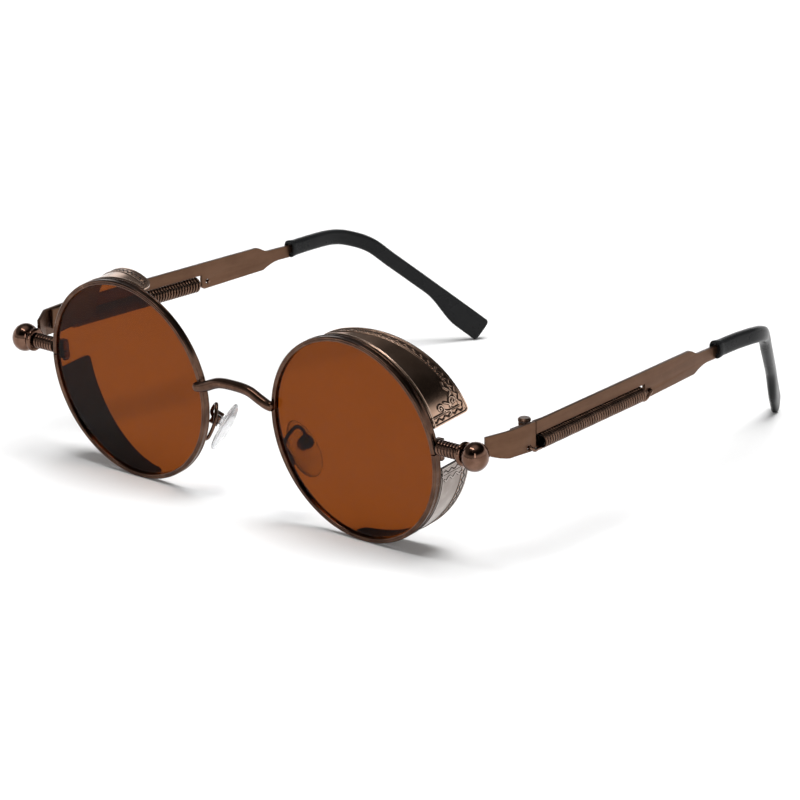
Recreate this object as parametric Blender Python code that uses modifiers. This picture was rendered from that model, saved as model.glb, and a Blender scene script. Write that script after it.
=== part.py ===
"""Round sunglasses with metal side shields, ribbed studs and spring-trimmed temples.

X runs across the face (the wearer's left is +X), Y runs from the front to the ear
tips and Z is up.  The sizes below are real sizes.  The glasses are drawn about the
point midway between the two lens centres, and the whole is then set down so that
the floor is Z = 0 and the middle of its length is Y = 0.
"""
import math

import bmesh
import bpy
from mathutils import Matrix, Vector

MM = 0.001

# Clearances
TOUCH_GAP = 0.3 * MM
BORE_GAP = 0.25 * MM

# Lenses and rims
LENS_DISTANCE = 72.5 * MM
RIM_RADIUS = 25.3 * MM
RIM_WALL = 1.2 * MM
RIM_DEPTH = 2.0 * MM
RIM_CHAMFER = 0.25 * MM
LENS_THICKNESS = 1.2 * MM
LENS_RECESS = 0.75 * MM
LENS_EDGE_HOLD = 0.3 * MM
GROOVE_HALF_WIDTH = 0.3 * MM
FRONT_TILT = math.radians(7.33)
RIM_SEGMENTS = 48
SMALL_SEGMENTS = 16

# Rim lock: two blocks drawn together by a screw
RIM_SLIT = 0.3 * MM
RIM_SLIT_HEIGHT = 1.9 * MM
LOCK_WIDTH = 1.8 * MM
LOCK_DEPTH = 1.8 * MM
LOCK_UPPER_LENGTH = 2.5 * MM
LOCK_LOWER_LENGTH = 1.7 * MM
LOCK_SCREW_RADIUS = 0.4 * MM
LOCK_HEAD_RADIUS = 0.8 * MM
LOCK_HEAD_THICKNESS = 0.5 * MM
LOCK_THREAD_DEPTH = 1.6 * MM
LOCK_INSET = 0.3 * MM

# Side shields: angles round the lens, and depths behind the rim at the temple and at the taper
SHIELD_THICKNESS = 0.8 * MM
SHIELD_CORNER = 1.2 * MM
SHIELD_TAPER_CORNER = 2.2 * MM
UPPER_SHIELD = {"start": 17.0, "end": 107.0, "deep": 12.1 * MM, "shallow": 3.3 * MM, "power": 1.4}
LOWER_SHIELD = {"start": -5.5, "end": -99.0, "deep": 9.6 * MM, "shallow": 3.0 * MM, "power": 1.7}
SHIELD_COLUMNS = 16

# Stud, collar and knob on each side
STUD_HEIGHT = 3.4 * MM
STUD_SETBACK = 0.3 * MM
STUD_LENGTH = 6.4 * MM
STUD_RADIUS = 1.85 * MM
STUD_GROOVE = 0.3 * MM
STUD_RIBS = 7
SPIGOT_RADIUS = 1.0 * MM
SPIGOT_LENGTH = 3.6 * MM
COLLAR_RADIUS = 2.85 * MM
COLLAR_THICKNESS = 1.3 * MM
COLLAR_BEVEL = 0.5 * MM
KNOB_RADIUS = 3.45 * MM
KNOB_HALF_LENGTH = 3.0 * MM
KNOB_CUT = 2.3 * MM
KNOB_BORE_DEPTH = 1.9 * MM

# Hinge plate, from the knob back to the seam
PLATE_THICKNESS = 0.8 * MM
PLATE_KNOB_OUT = -0.3 * MM
PLATE_FOLD_Y = 9.0 * MM
PLATE_FOLD_OUT = 2.75 * MM
SEAM_Y = 17.4 * MM
SEAM_OUT = 3.2 * MM
PLATE_FRONT_LOW = 2.7 * MM
PLATE_FRONT_HIGH = 6.8 * MM
PLATE_LOW = 1.4 * MM
PLATE_FOLD_HIGH = 7.8 * MM
PLATE_SEAM_HIGH = 8.1 * MM
HOOK_HOLE_RADIUS = 0.65 * MM
HOOK_HOLE_SETBACK = 2.0 * MM
HOOK_HOLE_RISE = 1.05 * MM

# Hinge
HINGE_AXIS_IN = 2.75 * MM
HINGE_AXIS_BEFORE_SEAM = 0.7 * MM
BARREL_RADIUS = 1.4 * MM
BARREL_LOW = 2.9 * MM
BARREL_HIGH = 7.7 * MM
KNUCKLE_SHARE = 0.3
KNUCKLE_GAP = 0.25 * MM
LEAF_THICKNESS = 0.8 * MM
LEAF_LENGTH = 4.2 * MM
LEAF_PLATE_GAP = 0.4 * MM
LEAF_AXIS_GAP = 1.75 * MM
TONGUE_OVERLAP = 0.5 * MM
HINGE_PIN_RADIUS = 0.55 * MM
HINGE_HEAD_RADIUS = 1.4 * MM
HINGE_HEAD_THICKNESS = 0.75 * MM
HINGE_HEAD_BEVEL = 0.3 * MM
SLOT_WIDTH = 0.4 * MM
SLOT_DEPTH = 0.3 * MM

# Temple plate
TEMPLE_TOE_IN = math.radians(4.64)
TEMPLE_THICKNESS = 0.8 * MM
TEMPLE_FRONT_HIGH = 8.1 * MM
TEMPLE_HUMP = 61.8 * MM
TEMPLE_HUMP_HIGH = 9.2 * MM
TEMPLE_HUMP_REACH = 0.8
TEMPLE_CORNER = 64.0 * MM
TEMPLE_CORNER_LOW = 3.05 * MM
TEMPLE_BELLY_REACH = 2.2 * MM
TEMPLE_BELLY_POWER = 1.6
NECK_START = 67.0 * MM
NECK_LENGTH = 6.0 * MM
NECK_HIGH = 7.7 * MM
NECK_LOW = 4.65 * MM
CORE_LENGTH = 14.0 * MM
CORE_HEIGHT = 2.0 * MM
NOTCH_LENGTH = 43.3 * MM
NOTCH_FRONT_HIGH = 5.1 * MM
NOTCH_REAR_HIGH = 5.85 * MM
NOTCH_REAR_LOW = 2.2 * MM
NOTCH_CORNER = 0.9 * MM
REAR_HOLE_SETBACK = 1.9 * MM
REAR_HOLE_RISE = 1.75 * MM

# Spring
SPRING_RADIUS = 1.78 * MM
SPRING_WIRE_RADIUS = 0.22 * MM
SPRING_START = 1.5 * MM
SPRING_START_TURN = math.radians(-65.0)
SPRING_LENGTH = 40.3 * MM
SPRING_TURNS = 44
SPRING_POINTS = 8
SPRING_FRONT_HEIGHT = 2.75 * MM
SPRING_REAR_HEIGHT = 3.5 * MM
HOOK_REACH = 0.55 * MM
HOOK_INSET = 0.1 * MM
HOOK_BOW = 0.15 * MM
FRONT_HOOK_BACK = 0.9 * MM
FRONT_HOOK_DROP = 0.75 * MM
FRONT_HOOK_EASE = 0.55
REAR_HOOK_START = 0.75 * MM
REAR_HOOK_DROP = 1.5 * MM
REAR_HOOK_TURN = 0.7 * MM
REAR_HOOK_TURN_DROP = 0.45 * MM

# Ear tip
TIP_RISE = 0.5 * MM
TIP_TOE_IN = 0.03
TIP_STRAIGHT = 16.9 * MM
TIP_BEND_INWARD = 3.3 * MM
TIP_BEND_BACK = 6.8 * MM
TIP_BEND_DROP = 1.65 * MM
TIP_END_INWARD = 20.3 * MM
TIP_END_BACK = 34.9 * MM
TIP_END_DROP = 27.1 * MM
TIP_FRONT_HEIGHT = 3.6 * MM
TIP_WAIST_HEIGHT = 3.4 * MM
TIP_END_HEIGHT = 6.2 * MM
TIP_FRONT_THICKNESS = 3.1 * MM
TIP_END_THICKNESS = 2.4 * MM
TIP_FLARE_START = 0.65
TIP_FLARE_END = 0.88
TIP_END_ROUNDING = 0.8 * MM
TIP_STATIONS = 17
TIP_SIDES = 12
TIP_SQUARENESS = 0.75

# Nose pads
PAD_BESIDE_RIM = 1.85 * MM
PAD_BACK = 8.0 * MM
PAD_DROP = 9.1 * MM
PAD_LENGTH = 14.4 * MM
PAD_WIDTH = 7.2 * MM
PAD_THICKNESS = 2.7 * MM
PAD_BACK_SHARE = 0.42
PAD_NARROWING = 0.12
PAD_SPLAY = math.radians(32.5)
PAD_FACE_TURN = math.radians(20.0)
PAD_SCREW_DEPTH = 1.1 * MM
PAD_BOX_RADIUS = 1.8 * MM
PAD_BOX_FRONT = 0.75 * MM
PAD_BOX_BACK = 1.4 * MM
PAD_SLOT_WIDTH = 1.4 * MM
PAD_TAB_THICKNESS = 0.8 * MM
PAD_TAB_HEIGHT = 1.9 * MM
PAD_TAB_MARGIN = 0.35 * MM
PAD_TAB_ROOT = 1.0 * MM
PAD_SCREW_RADIUS = 0.35 * MM
PAD_BORE_GAP = 0.15 * MM
PAD_BOX_ALONG = 0.9 * MM
ARM_RADIUS = 0.45 * MM
ARM_FOOT_ANGLE = math.radians(207.7)
ARM_RISE_ANGLE = math.radians(196.0)
ARM_TOP_NASAL = 3.2 * MM
ARM_TOP_FORWARD = 2.6 * MM
ARM_TOP_RISE = 4.2 * MM
ARM_ELBOW_RISE = 1.0 * MM
ARM_ABOVE_RISE = 3.1 * MM
ARM_LAPPED = math.radians(2.0)

# Bridge
BRIDGE_RADIUS = 1.1 * MM
BRIDGE_LAP = 1.95 * MM
BRIDGE_BEND = 0.83
BRIDGE_END_RISE = 0.1 * MM
BRIDGE_END_HEIGHT = 3.3 * MM
BRIDGE_TOP_HEIGHT = 5.5 * MM
BRIDGE_FORWARD = 2.1 * MM
BRIDGE_SHOULDER = 2 / 3
BRIDGE_SHOULDER_RISE = 0.35
BRIDGE_CROWN = 0.37
BRIDGE_CROWN_RISE = 0.88

LENS_X = LENS_DISTANCE / 2
FLOOR = -(RIM_RADIUS * math.cos(FRONT_TILT) + (RIM_DEPTH / 2 - RIM_CHAMFER) * math.sin(FRONT_TILT))
SIDES = (("left", 1), ("right", -1))


def clear_scene():
    for obj in list(bpy.data.objects):
        bpy.data.objects.remove(obj, do_unlink=True)


def collection(name):
    group = bpy.data.collections.new(name)
    bpy.context.scene.collection.children.link(group)
    return group


def principled(name, colour, metallic, roughness, transmission=0.0):
    material = bpy.data.materials.new(name)
    material.use_nodes = True
    shader = material.node_tree.nodes["Principled BSDF"]
    shader.inputs["Base Color"].default_value = (*colour, 1.0)
    shader.inputs["Metallic"].default_value = metallic
    shader.inputs["Roughness"].default_value = roughness
    shader.inputs["Transmission Weight"].default_value = transmission
    return material


clear_scene()
PARTS = collection("steampunk_sunglasses")
CUTTERS = collection("cutters")
BRONZE = principled("dark_bronze", (0.12, 0.062, 0.038), 1.0, 0.3)
SATIN = principled("satin_bronze", (0.15, 0.085, 0.055), 1.0, 0.45)
WIRE = principled("spring_wire", (0.08, 0.045, 0.03), 1.0, 0.35)
LENS_TINT = principled("brown_lens", (0.22, 0.06, 0.015), 0.0, 0.05, 0.6)
BLACK = principled("black_tip", (0.02, 0.02, 0.02), 0.0, 0.25)
CLEAR = principled("clear_silicone", (0.8, 0.8, 0.8), 0.0, 0.2, 0.7)


def place(obj, parent, location=(0, 0, 0), rotation=(0, 0, 0), material=None, group=PARTS):
    """Link an object, hang it on its parent and give it its place and material."""
    group.objects.link(obj)
    obj.parent = parent
    obj.location = location
    obj.rotation_euler = rotation
    if material is not None:
        obj.data.materials.clear()
        obj.data.materials.append(material)
    return obj


def empty(name, parent=None, location=(0, 0, 0), rotation=(0, 0, 0)):
    obj = bpy.data.objects.new(name, None)
    obj.empty_display_size = 0.004
    return place(obj, parent, location, rotation)


def mesh_from(name, bm, smooth_angle=math.radians(35)):
    mesh = bpy.data.meshes.new(name)
    bm.to_mesh(mesh)
    bm.free()
    mesh.shade_smooth()
    mesh.set_sharp_from_angle(angle=smooth_angle)
    return mesh


def box_mesh(name, low, high):
    """A block between two corners."""
    bm = bmesh.new()
    bmesh.ops.create_cube(bm, size=1.0)
    size = [b - a for a, b in zip(low, high)]
    middle = [(a + b) / 2 for a, b in zip(low, high)]
    bmesh.ops.transform(bm, matrix=Matrix.Translation(middle) @ Matrix.Diagonal((*size, 1.0)), verts=bm.verts)
    return mesh_from(name, bm)


def rod_mesh(name, radius, low, high, segments=16, turn=0.0):
    """A cylinder about Z between two heights."""
    bm = bmesh.new()
    bmesh.ops.create_cone(bm, cap_ends=True, segments=segments, radius1=radius, radius2=radius, depth=high - low)
    matrix = Matrix.Translation((0, 0, (low + high) / 2)) @ Matrix.Rotation(turn, 4, "Z")
    bmesh.ops.transform(bm, matrix=matrix, verts=bm.verts)
    return mesh_from(name, bm)


def turned_mesh_object(name, profile, closed, segments):
    """A lathe-turned piece about Z from (radius, height) pairs that run down its outer side."""
    mesh = bpy.data.meshes.new(name)
    count = len(profile)
    edges = [(i, i + 1) for i in range(count - 1)]
    if closed:
        edges.append((count - 1, 0))
    mesh.from_pydata([(r, 0.0, h) for r, h in profile], edges, [])
    obj = bpy.data.objects.new(name, mesh)
    screw = obj.modifiers.new("turn", "SCREW")
    screw.axis = "Z"
    screw.angle = 2 * math.pi
    screw.steps = segments
    screw.render_steps = segments
    screw.use_merge_vertices = True
    screw.merge_threshold = 0.00001
    screw.use_smooth_shade = True
    return obj


def cutter(name, mesh, parent, location=(0, 0, 0), rotation=(0, 0, 0)):
    obj = bpy.data.objects.new(name, mesh)
    obj.hide_render = True
    obj.display_type = "WIRE"
    return place(obj, parent, location, rotation, group=CUTTERS)


def combine(obj, other, operation):
    """Cut another shape out of an object, or join it on."""
    boolean = obj.modifiers.new(operation.lower(), "BOOLEAN")
    boolean.operation = operation
    boolean.solver = "EXACT"
    boolean.object = other


def curve_data(name, points, cyclic, dimensions):
    data = bpy.data.curves.new(name, "CURVE")
    data.dimensions = dimensions
    spline = data.splines.new("POLY")
    spline.points.add(len(points) - 1)
    for target, point in zip(spline.points, points):
        target.co = (*point, 1.0)
    spline.use_cyclic_u = cyclic
    return data


def wire_object(name, points, radius, resolution):
    data = curve_data(name, points, False, "3D")
    data.bevel_depth = radius
    data.bevel_resolution = resolution
    data.use_fill_caps = True
    return bpy.data.objects.new(name, data)


def plate_object(name, outline, thickness):
    """A flat plate in its own XY plane, centred on it."""
    data = curve_data(name, [(x, y, 0.0) for x, y in outline], True, "2D")
    data.fill_mode = "BOTH"
    data.extrude = thickness / 2
    return bpy.data.objects.new(name, data)


def made_mesh(obj):
    """Turn a curve object into a mesh object in the same place, with its caps welded."""
    bpy.context.view_layer.update()
    evaluated = obj.evaluated_get(bpy.context.evaluated_depsgraph_get())
    mesh = bpy.data.meshes.new_from_object(evaluated)
    bm = bmesh.new()
    bm.from_mesh(mesh)
    bmesh.ops.remove_doubles(bm, verts=bm.verts, dist=0.000001)
    bm.to_mesh(mesh)
    bm.free()
    mesh.shade_smooth()
    mesh.set_sharp_from_angle(angle=math.radians(35))
    name = obj.name
    parent = obj.parent
    matrix = obj.matrix_world.copy()
    material = obj.data.materials[0]
    bpy.data.objects.remove(obj, do_unlink=True)
    solid = bpy.data.objects.new(name, mesh)
    PARTS.objects.link(solid)
    solid.parent = parent
    solid.matrix_world = matrix
    mesh.materials.clear()
    mesh.materials.append(material)
    return solid


def smooth_route(points, steps):
    """Points along one smooth curve through the given ones (Catmull-Rom)."""
    knots = [Vector(p) for p in points]
    knots = [2 * knots[0] - knots[1]] + knots + [2 * knots[-1] - knots[-2]]
    route = []
    for a, b, c, d in zip(knots, knots[1:], knots[2:], knots[3:]):
        for i in range(steps):
            t = i / steps
            route.append(0.5 * (2 * b + (c - a) * t + (2 * a - 5 * b + 4 * c - d) * t * t
                                + (3 * b - a - 3 * c + d) * t ** 3))
    route.append(knots[-2])
    return route


def blend(a, b, t):
    return a + (b - a) * t


def make_rim(side_name, lens_frame):
    """Grooved ring, slit beside the temple so that it can open for its lens."""
    half = RIM_DEPTH / 2
    bore = RIM_RADIUS - RIM_WALL
    groove = lens_edge_height()
    groove_radius = lens_edge_radius() + TOUCH_GAP
    profile = [
        (RIM_RADIUS - RIM_CHAMFER, half),
        (RIM_RADIUS, half - RIM_CHAMFER),
        (RIM_RADIUS, RIM_CHAMFER - half),
        (RIM_RADIUS - RIM_CHAMFER, -half),
        (bore, -half),
        (bore, groove - GROOVE_HALF_WIDTH),
        (groove_radius, groove),
        (bore, groove + GROOVE_HALF_WIDTH),
        (bore, half),
    ]
    rim = turned_mesh_object("rim_" + side_name, profile, True, RIM_SEGMENTS)
    place(rim, lens_frame, rotation=(math.radians(-90), 0, 0), material=BRONZE)
    return rim


def cut_rim_slit(rim, side_name, side, lens_frame):
    low = (side * (RIM_RADIUS - 2 * RIM_WALL), -RIM_DEPTH, RIM_SLIT_HEIGHT - RIM_SLIT / 2)
    high = (side * (RIM_RADIUS + RIM_WALL), RIM_DEPTH, RIM_SLIT_HEIGHT + RIM_SLIT / 2)
    slit = box_mesh("rim_slit_" + side_name, *ordered(low, high))
    combine(rim, cutter("rim_slit_" + side_name, slit, lens_frame), "DIFFERENCE")


def ordered(a, b):
    return tuple(map(min, a, b)), tuple(map(max, a, b))


def lens_edge_radius():
    return RIM_RADIUS - RIM_WALL + LENS_EDGE_HOLD


def lens_edge_height():
    return -RIM_DEPTH / 2 + LENS_RECESS + LENS_THICKNESS / 2


def make_lens(side_name, lens_frame):
    front = -RIM_DEPTH / 2 + LENS_RECESS
    back = front + LENS_THICKNESS
    middle = lens_edge_height()
    body = RIM_RADIUS - RIM_WALL - TOUCH_GAP
    ridge = GROOVE_HALF_WIDTH * (lens_edge_radius() - body) / (lens_edge_radius() + TOUCH_GAP - body) * 0.9
    profile = [
        (0.0, back),
        (body, back),
        (body, middle + ridge),
        (lens_edge_radius(), middle),
        (body, middle - ridge),
        (body, front),
        (0.0, front),
    ]
    lens = turned_mesh_object("lens_" + side_name, profile, False, RIM_SEGMENTS)
    return place(lens, lens_frame, rotation=(math.radians(-90), 0, 0), material=LENS_TINT)


def shield_depth(shield, angle):
    """Depth behind the rim at an angle round the lens, with both ends rounded off."""
    share = (angle - shield["start"]) / (shield["end"] - shield["start"])
    depth = shield["shallow"] + (shield["deep"] - shield["shallow"]) * (1 - share ** shield["power"])
    arc = math.radians(1) * RIM_RADIUS
    from_start = abs(angle - shield["start"]) * arc
    from_end = abs(angle - shield["end"]) * arc
    for distance, corner in ((from_start, SHIELD_CORNER), (from_end, SHIELD_TAPER_CORNER)):
        if distance < corner:
            depth -= corner - math.sqrt(corner ** 2 - (corner - distance) ** 2)
    return depth


def shield_angles(shield):
    """Angles round the lens, set close together where the ends are rounded."""
    direction = 1 if shield["end"] > shield["start"] else -1
    arc = math.degrees(1 / RIM_RADIUS)
    start_corner = SHIELD_CORNER * arc
    end_corner = SHIELD_TAPER_CORNER * arc
    rounding = [1 - math.cos(math.radians(step)) for step in (0, 30, 60, 90)]
    first = [shield["start"] + direction * start_corner * r for r in rounding]
    last = [shield["end"] - direction * end_corner * r for r in reversed(rounding)]
    middle = [blend(first[-1], last[0], i / SHIELD_COLUMNS) for i in range(1, SHIELD_COLUMNS)]
    return first + middle + last


def make_shield(name, shield, side, lens_frame):
    """Curved sheet behind the rim, about the lens axis."""
    angles = shield_angles(shield)
    front = RIM_DEPTH / 2 + TOUCH_GAP
    bm = bmesh.new()
    bmesh.ops.create_grid(bm, x_segments=len(angles) - 1, y_segments=1, size=1.0)
    for vert in bm.verts:
        column = round((vert.co.x + 1) / 2 * (len(angles) - 1))
        angle = math.radians(angles[column])
        back = RIM_DEPTH / 2 + shield_depth(shield, angles[column])
        depth = front if vert.co.y < 0 else back
        vert.co = (side * RIM_RADIUS * math.cos(angle), depth, RIM_RADIUS * math.sin(angle))
    bmesh.ops.recalc_face_normals(bm, faces=bm.faces)
    if sum(face.normal.x * face.calc_center_median().x for face in bm.faces) < 0:
        bmesh.ops.reverse_faces(bm, faces=bm.faces)
    obj = bpy.data.objects.new(name, mesh_from(name, bm))
    wall = obj.modifiers.new("wall", "SOLIDIFY")
    wall.thickness = SHIELD_THICKNESS
    wall.offset = -1.0
    return place(obj, lens_frame, material=BRONZE)


def make_rim_lock(side_name, side, lens_frame):
    """Two blocks behind the slit of the rim, and the screw that draws them together."""
    outer = RIM_RADIUS - LOCK_INSET
    inner = outer - LOCK_WIDTH
    front = RIM_DEPTH / 2 + TOUCH_GAP
    back = front + LOCK_DEPTH
    upper_low = RIM_SLIT_HEIGHT + RIM_SLIT / 2
    lower_high = RIM_SLIT_HEIGHT - RIM_SLIT / 2
    bottom = lower_high - LOCK_LOWER_LENGTH
    axis = (side * (outer + inner) / 2, (front + back) / 2, 0.0)
    hole_top = upper_low + LOCK_THREAD_DEPTH
    bore_radius = LOCK_SCREW_RADIUS + BORE_GAP
    for part, low, high in (("upper", upper_low, upper_low + LOCK_UPPER_LENGTH), ("lower", bottom, lower_high)):
        name = "rim_lock_" + part + "_" + side_name
        corners = ordered((side * inner, front, low), (side * outer, back, high))
        block = bpy.data.objects.new(name, box_mesh(name, *corners))
        place(block, lens_frame, material=BRONZE)
        bore = rod_mesh("lock_bore", bore_radius, bottom - LOCK_WIDTH, hole_top, 12)
        combine(block, cutter("bore_" + name, bore, lens_frame, axis), "DIFFERENCE")
    profile = [
        (0.0, hole_top - BORE_GAP),
        (LOCK_SCREW_RADIUS, hole_top - BORE_GAP),
        (LOCK_SCREW_RADIUS, bottom - BORE_GAP),
        (LOCK_HEAD_RADIUS, bottom - BORE_GAP),
        (LOCK_HEAD_RADIUS, bottom - BORE_GAP - LOCK_HEAD_THICKNESS),
        (0.0, bottom - BORE_GAP - LOCK_HEAD_THICKNESS),
    ]
    screw = turned_mesh_object("rim_lock_screw_" + side_name, profile, False, 12)
    place(screw, lens_frame, location=axis, material=WIRE)


def stud_root():
    """Where the stud starts, just outside the rim at the stud's height."""
    lowest = abs(STUD_HEIGHT) - STUD_RADIUS
    return LENS_X + math.sqrt(RIM_RADIUS ** 2 - lowest ** 2) + TOUCH_GAP


def knob_centre():
    return stud_root() + STUD_LENGTH + COLLAR_THICKNESS + 2 * TOUCH_GAP + KNOB_CUT


def make_stud(side_name, side, front):
    """Ribbed stud whose spigot carries the collar and the knob."""
    rotation = (0, side * math.radians(90), 0)
    root = (side * stud_root(), STUD_SETBACK, STUD_HEIGHT)
    pitch = STUD_LENGTH / STUD_RIBS
    tip = STUD_LENGTH + SPIGOT_LENGTH
    profile = [(0.0, tip), (SPIGOT_RADIUS, tip), (SPIGOT_RADIUS, STUD_LENGTH)]
    for rib in reversed(range(STUD_RIBS)):
        profile.append((STUD_RADIUS - STUD_GROOVE, (rib + 1) * pitch))
        profile.append((STUD_RADIUS, (rib + 0.5) * pitch))
    profile.append((STUD_RADIUS - STUD_GROOVE, 0.0))
    profile.append((0.0, 0.0))
    stud = turned_mesh_object("stud_" + side_name, profile, False, 12)
    place(stud, front, root, rotation, BRONZE)

    bore = SPIGOT_RADIUS + BORE_GAP
    start = STUD_LENGTH + TOUCH_GAP
    end = start + COLLAR_THICKNESS
    profile = [
        (bore, end),
        (COLLAR_RADIUS - COLLAR_BEVEL, end),
        (COLLAR_RADIUS, blend(start, end, 0.65)),
        (COLLAR_RADIUS, blend(start, end, 0.35)),
        (COLLAR_RADIUS - COLLAR_BEVEL, start),
        (bore, start),
    ]
    collar = turned_mesh_object("collar_" + side_name, profile, True, SMALL_SEGMENTS)
    place(collar, front, root, rotation, BRONZE)

    middle = knob_centre() - stud_root()
    steps = 8
    first = math.acos(-KNOB_CUT / KNOB_HALF_LENGTH)
    profile = []
    for i in range(steps + 1):
        angle = first * i / steps
        profile.append((KNOB_RADIUS * math.sin(angle), middle + KNOB_HALF_LENGTH * math.cos(angle)))
    face = middle - KNOB_CUT
    profile += [(bore, face), (bore, face + KNOB_BORE_DEPTH), (0.0, face + KNOB_BORE_DEPTH)]
    knob = turned_mesh_object("knob_" + side_name, profile, False, SMALL_SEGMENTS)
    place(knob, front, root, rotation, BRONZE)


def plate_stations():
    """Outer face of the hinge plate: (x, y, low, high) from the knob to the seam."""
    centre = knob_centre()
    front_y = STUD_SETBACK + KNOB_RADIUS + TOUCH_GAP
    return (
        (centre + PLATE_KNOB_OUT, front_y, PLATE_FRONT_LOW, PLATE_FRONT_HIGH),
        (centre + PLATE_FOLD_OUT, PLATE_FOLD_Y, PLATE_LOW, PLATE_FOLD_HIGH),
        (centre + SEAM_OUT, SEAM_Y, PLATE_LOW, PLATE_SEAM_HIGH),
    )


def seam_x():
    """Outer face of the plates at the seam."""
    return plate_stations()[-1][0]


def hinge_axis():
    return seam_x() - HINGE_AXIS_IN, SEAM_Y - HINGE_AXIS_BEFORE_SEAM


def hook_hole_front():
    """Middle of the hole in the hinge plate that holds the spring's front hook."""
    fold, seam = plate_stations()[1:]
    y = SEAM_Y - HOOK_HOLE_SETBACK
    x = blend(fold[0], seam[0], (y - fold[1]) / (seam[1] - fold[1])) - PLATE_THICKNESS / 2
    return Vector((x, y, PLATE_LOW + HOOK_HOLE_RISE))


def make_hinge_plate(side_name, side, front):
    """Folded plate that carries the hinge, swelling from the knob to the seam."""
    knob_end, fold, seam = plate_stations()
    stations = []
    for share in (0.0, 0.3, 0.6, 0.85):
        rise = math.sin(share * math.pi / 2)
        row = [blend(a, b, share) for a, b in zip(knob_end[:2], fold[:2])]
        stations.append((*row, blend(knob_end[2], fold[2], rise), blend(knob_end[3], fold[3], share)))
    stations += [fold, seam]
    bm = bmesh.new()
    bmesh.ops.create_grid(bm, x_segments=len(stations) - 1, y_segments=1, size=1.0)
    for vert in bm.verts:
        x, y, low, high = stations[round((vert.co.x + 1) / 2 * (len(stations) - 1))]
        vert.co = (side * x, y, low if vert.co.y < 0 else high)
    bmesh.ops.recalc_face_normals(bm, faces=bm.faces)
    if sum(face.normal.x for face in bm.faces) * side < 0:
        bmesh.ops.reverse_faces(bm, faces=bm.faces)
    name = "hinge_plate_" + side_name
    plate = bpy.data.objects.new(name, mesh_from(name, bm, math.radians(10)))
    wall = plate.modifiers.new("wall", "SOLIDIFY")
    wall.thickness = PLATE_THICKNESS
    wall.offset = -1.0
    place(plate, front, material=SATIN)
    hole = hook_hole_front()
    reach = 2 * PLATE_THICKNESS
    bore = rod_mesh("hook_bore", HOOK_HOLE_RADIUS, -reach, reach, 16)
    place_at = (side * hole.x, hole.y, hole.z)
    combine(plate, cutter("hook_bore_front_" + side_name, bore, front, place_at, (0, math.radians(90), 0)),
            "DIFFERENCE")


def knuckle_heights():
    """Lower end and upper end of the temple's knuckle."""
    height = BARREL_HIGH - BARREL_LOW
    return BARREL_LOW + KNUCKLE_SHARE * height, BARREL_HIGH - KNUCKLE_SHARE * height


def make_hinge(side_name, side, front, pivot):
    """Three-knuckle hinge behind the plates, with its screw."""
    axis_x, axis_y = hinge_axis()
    low, high = knuckle_heights()
    outer = HINGE_AXIS_IN - PLATE_THICKNESS - LEAF_PLATE_GAP
    inner = outer - LEAF_THICKNESS
    bore_radius = HINGE_PIN_RADIUS + BORE_GAP
    pivot_in_front = (side * axis_x, axis_y, 0.0)

    name = "front_hinge_" + side_name
    leaf = box_mesh(name, *ordered((side * inner, -LEAF_AXIS_GAP - LEAF_LENGTH, BARREL_LOW),
                                   (side * outer, 0.0, BARREL_HIGH)))
    hinge = place(bpy.data.objects.new(name, leaf), front, pivot_in_front, material=SATIN)
    barrel = rod_mesh("barrel", BARREL_RADIUS, BARREL_LOW, BARREL_HIGH, SMALL_SEGMENTS, math.radians(11.25))
    combine(hinge, cutter("barrel_front_" + side_name, barrel, front, pivot_in_front), "UNION")
    reach = 2 * BARREL_RADIUS
    gap = box_mesh("knuckle_gap", (-reach, -LEAF_AXIS_GAP, low - KNUCKLE_GAP), (reach, reach, high + KNUCKLE_GAP))
    combine(hinge, cutter("knuckle_gap_" + side_name, gap, front, pivot_in_front), "DIFFERENCE")
    bore = rod_mesh("pin_bore", bore_radius, BARREL_LOW - reach, BARREL_HIGH + reach, 12)
    combine(hinge, cutter("pin_bore_front_" + side_name, bore, front, pivot_in_front), "DIFFERENCE")

    name = "temple_hinge_" + side_name
    leaf = box_mesh(name, *ordered((side * inner, LEAF_AXIS_GAP, NOTCH_FRONT_HIGH),
                                   (side * outer, LEAF_AXIS_GAP + LEAF_LENGTH, BARREL_HIGH)))
    hinge = place(bpy.data.objects.new(name, leaf), pivot, material=SATIN)
    tongue = box_mesh("tongue", *ordered((side * inner, 0.0, low), (side * outer, LEAF_AXIS_GAP + TONGUE_OVERLAP, high)))
    combine(hinge, cutter("tongue_" + side_name, tongue, pivot), "UNION")
    barrel = rod_mesh("barrel", BARREL_RADIUS, low, high, SMALL_SEGMENTS, math.radians(11.25))
    combine(hinge, cutter("barrel_temple_" + side_name, barrel, pivot), "UNION")
    bore = rod_mesh("pin_bore", bore_radius, BARREL_LOW - reach, BARREL_HIGH + reach, 12)
    combine(hinge, cutter("pin_bore_temple_" + side_name, bore, pivot), "DIFFERENCE")

    head_low = BARREL_HIGH + TOUCH_GAP
    head_high = head_low + HINGE_HEAD_THICKNESS
    profile = [
        (0.0, head_high),
        (HINGE_HEAD_RADIUS - HINGE_HEAD_BEVEL, head_high),
        (HINGE_HEAD_RADIUS, head_high - HINGE_HEAD_BEVEL),
        (HINGE_HEAD_RADIUS, head_low),
        (HINGE_PIN_RADIUS, head_low),
        (HINGE_PIN_RADIUS, BARREL_LOW),
        (0.0, BARREL_LOW),
    ]
    screw = turned_mesh_object("hinge_screw_" + side_name, profile, False, SMALL_SEGMENTS)
    place(screw, front, pivot_in_front, material=BRONZE)
    slot = box_mesh("driver_slot", (-SLOT_WIDTH / 2, -reach, head_high - SLOT_DEPTH),
                    (SLOT_WIDTH / 2, reach, head_high + SLOT_DEPTH))
    turn = (0, 0, math.radians(25))
    combine(screw, cutter("driver_slot_" + side_name, slot, front, pivot_in_front, turn), "DIFFERENCE")


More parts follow.
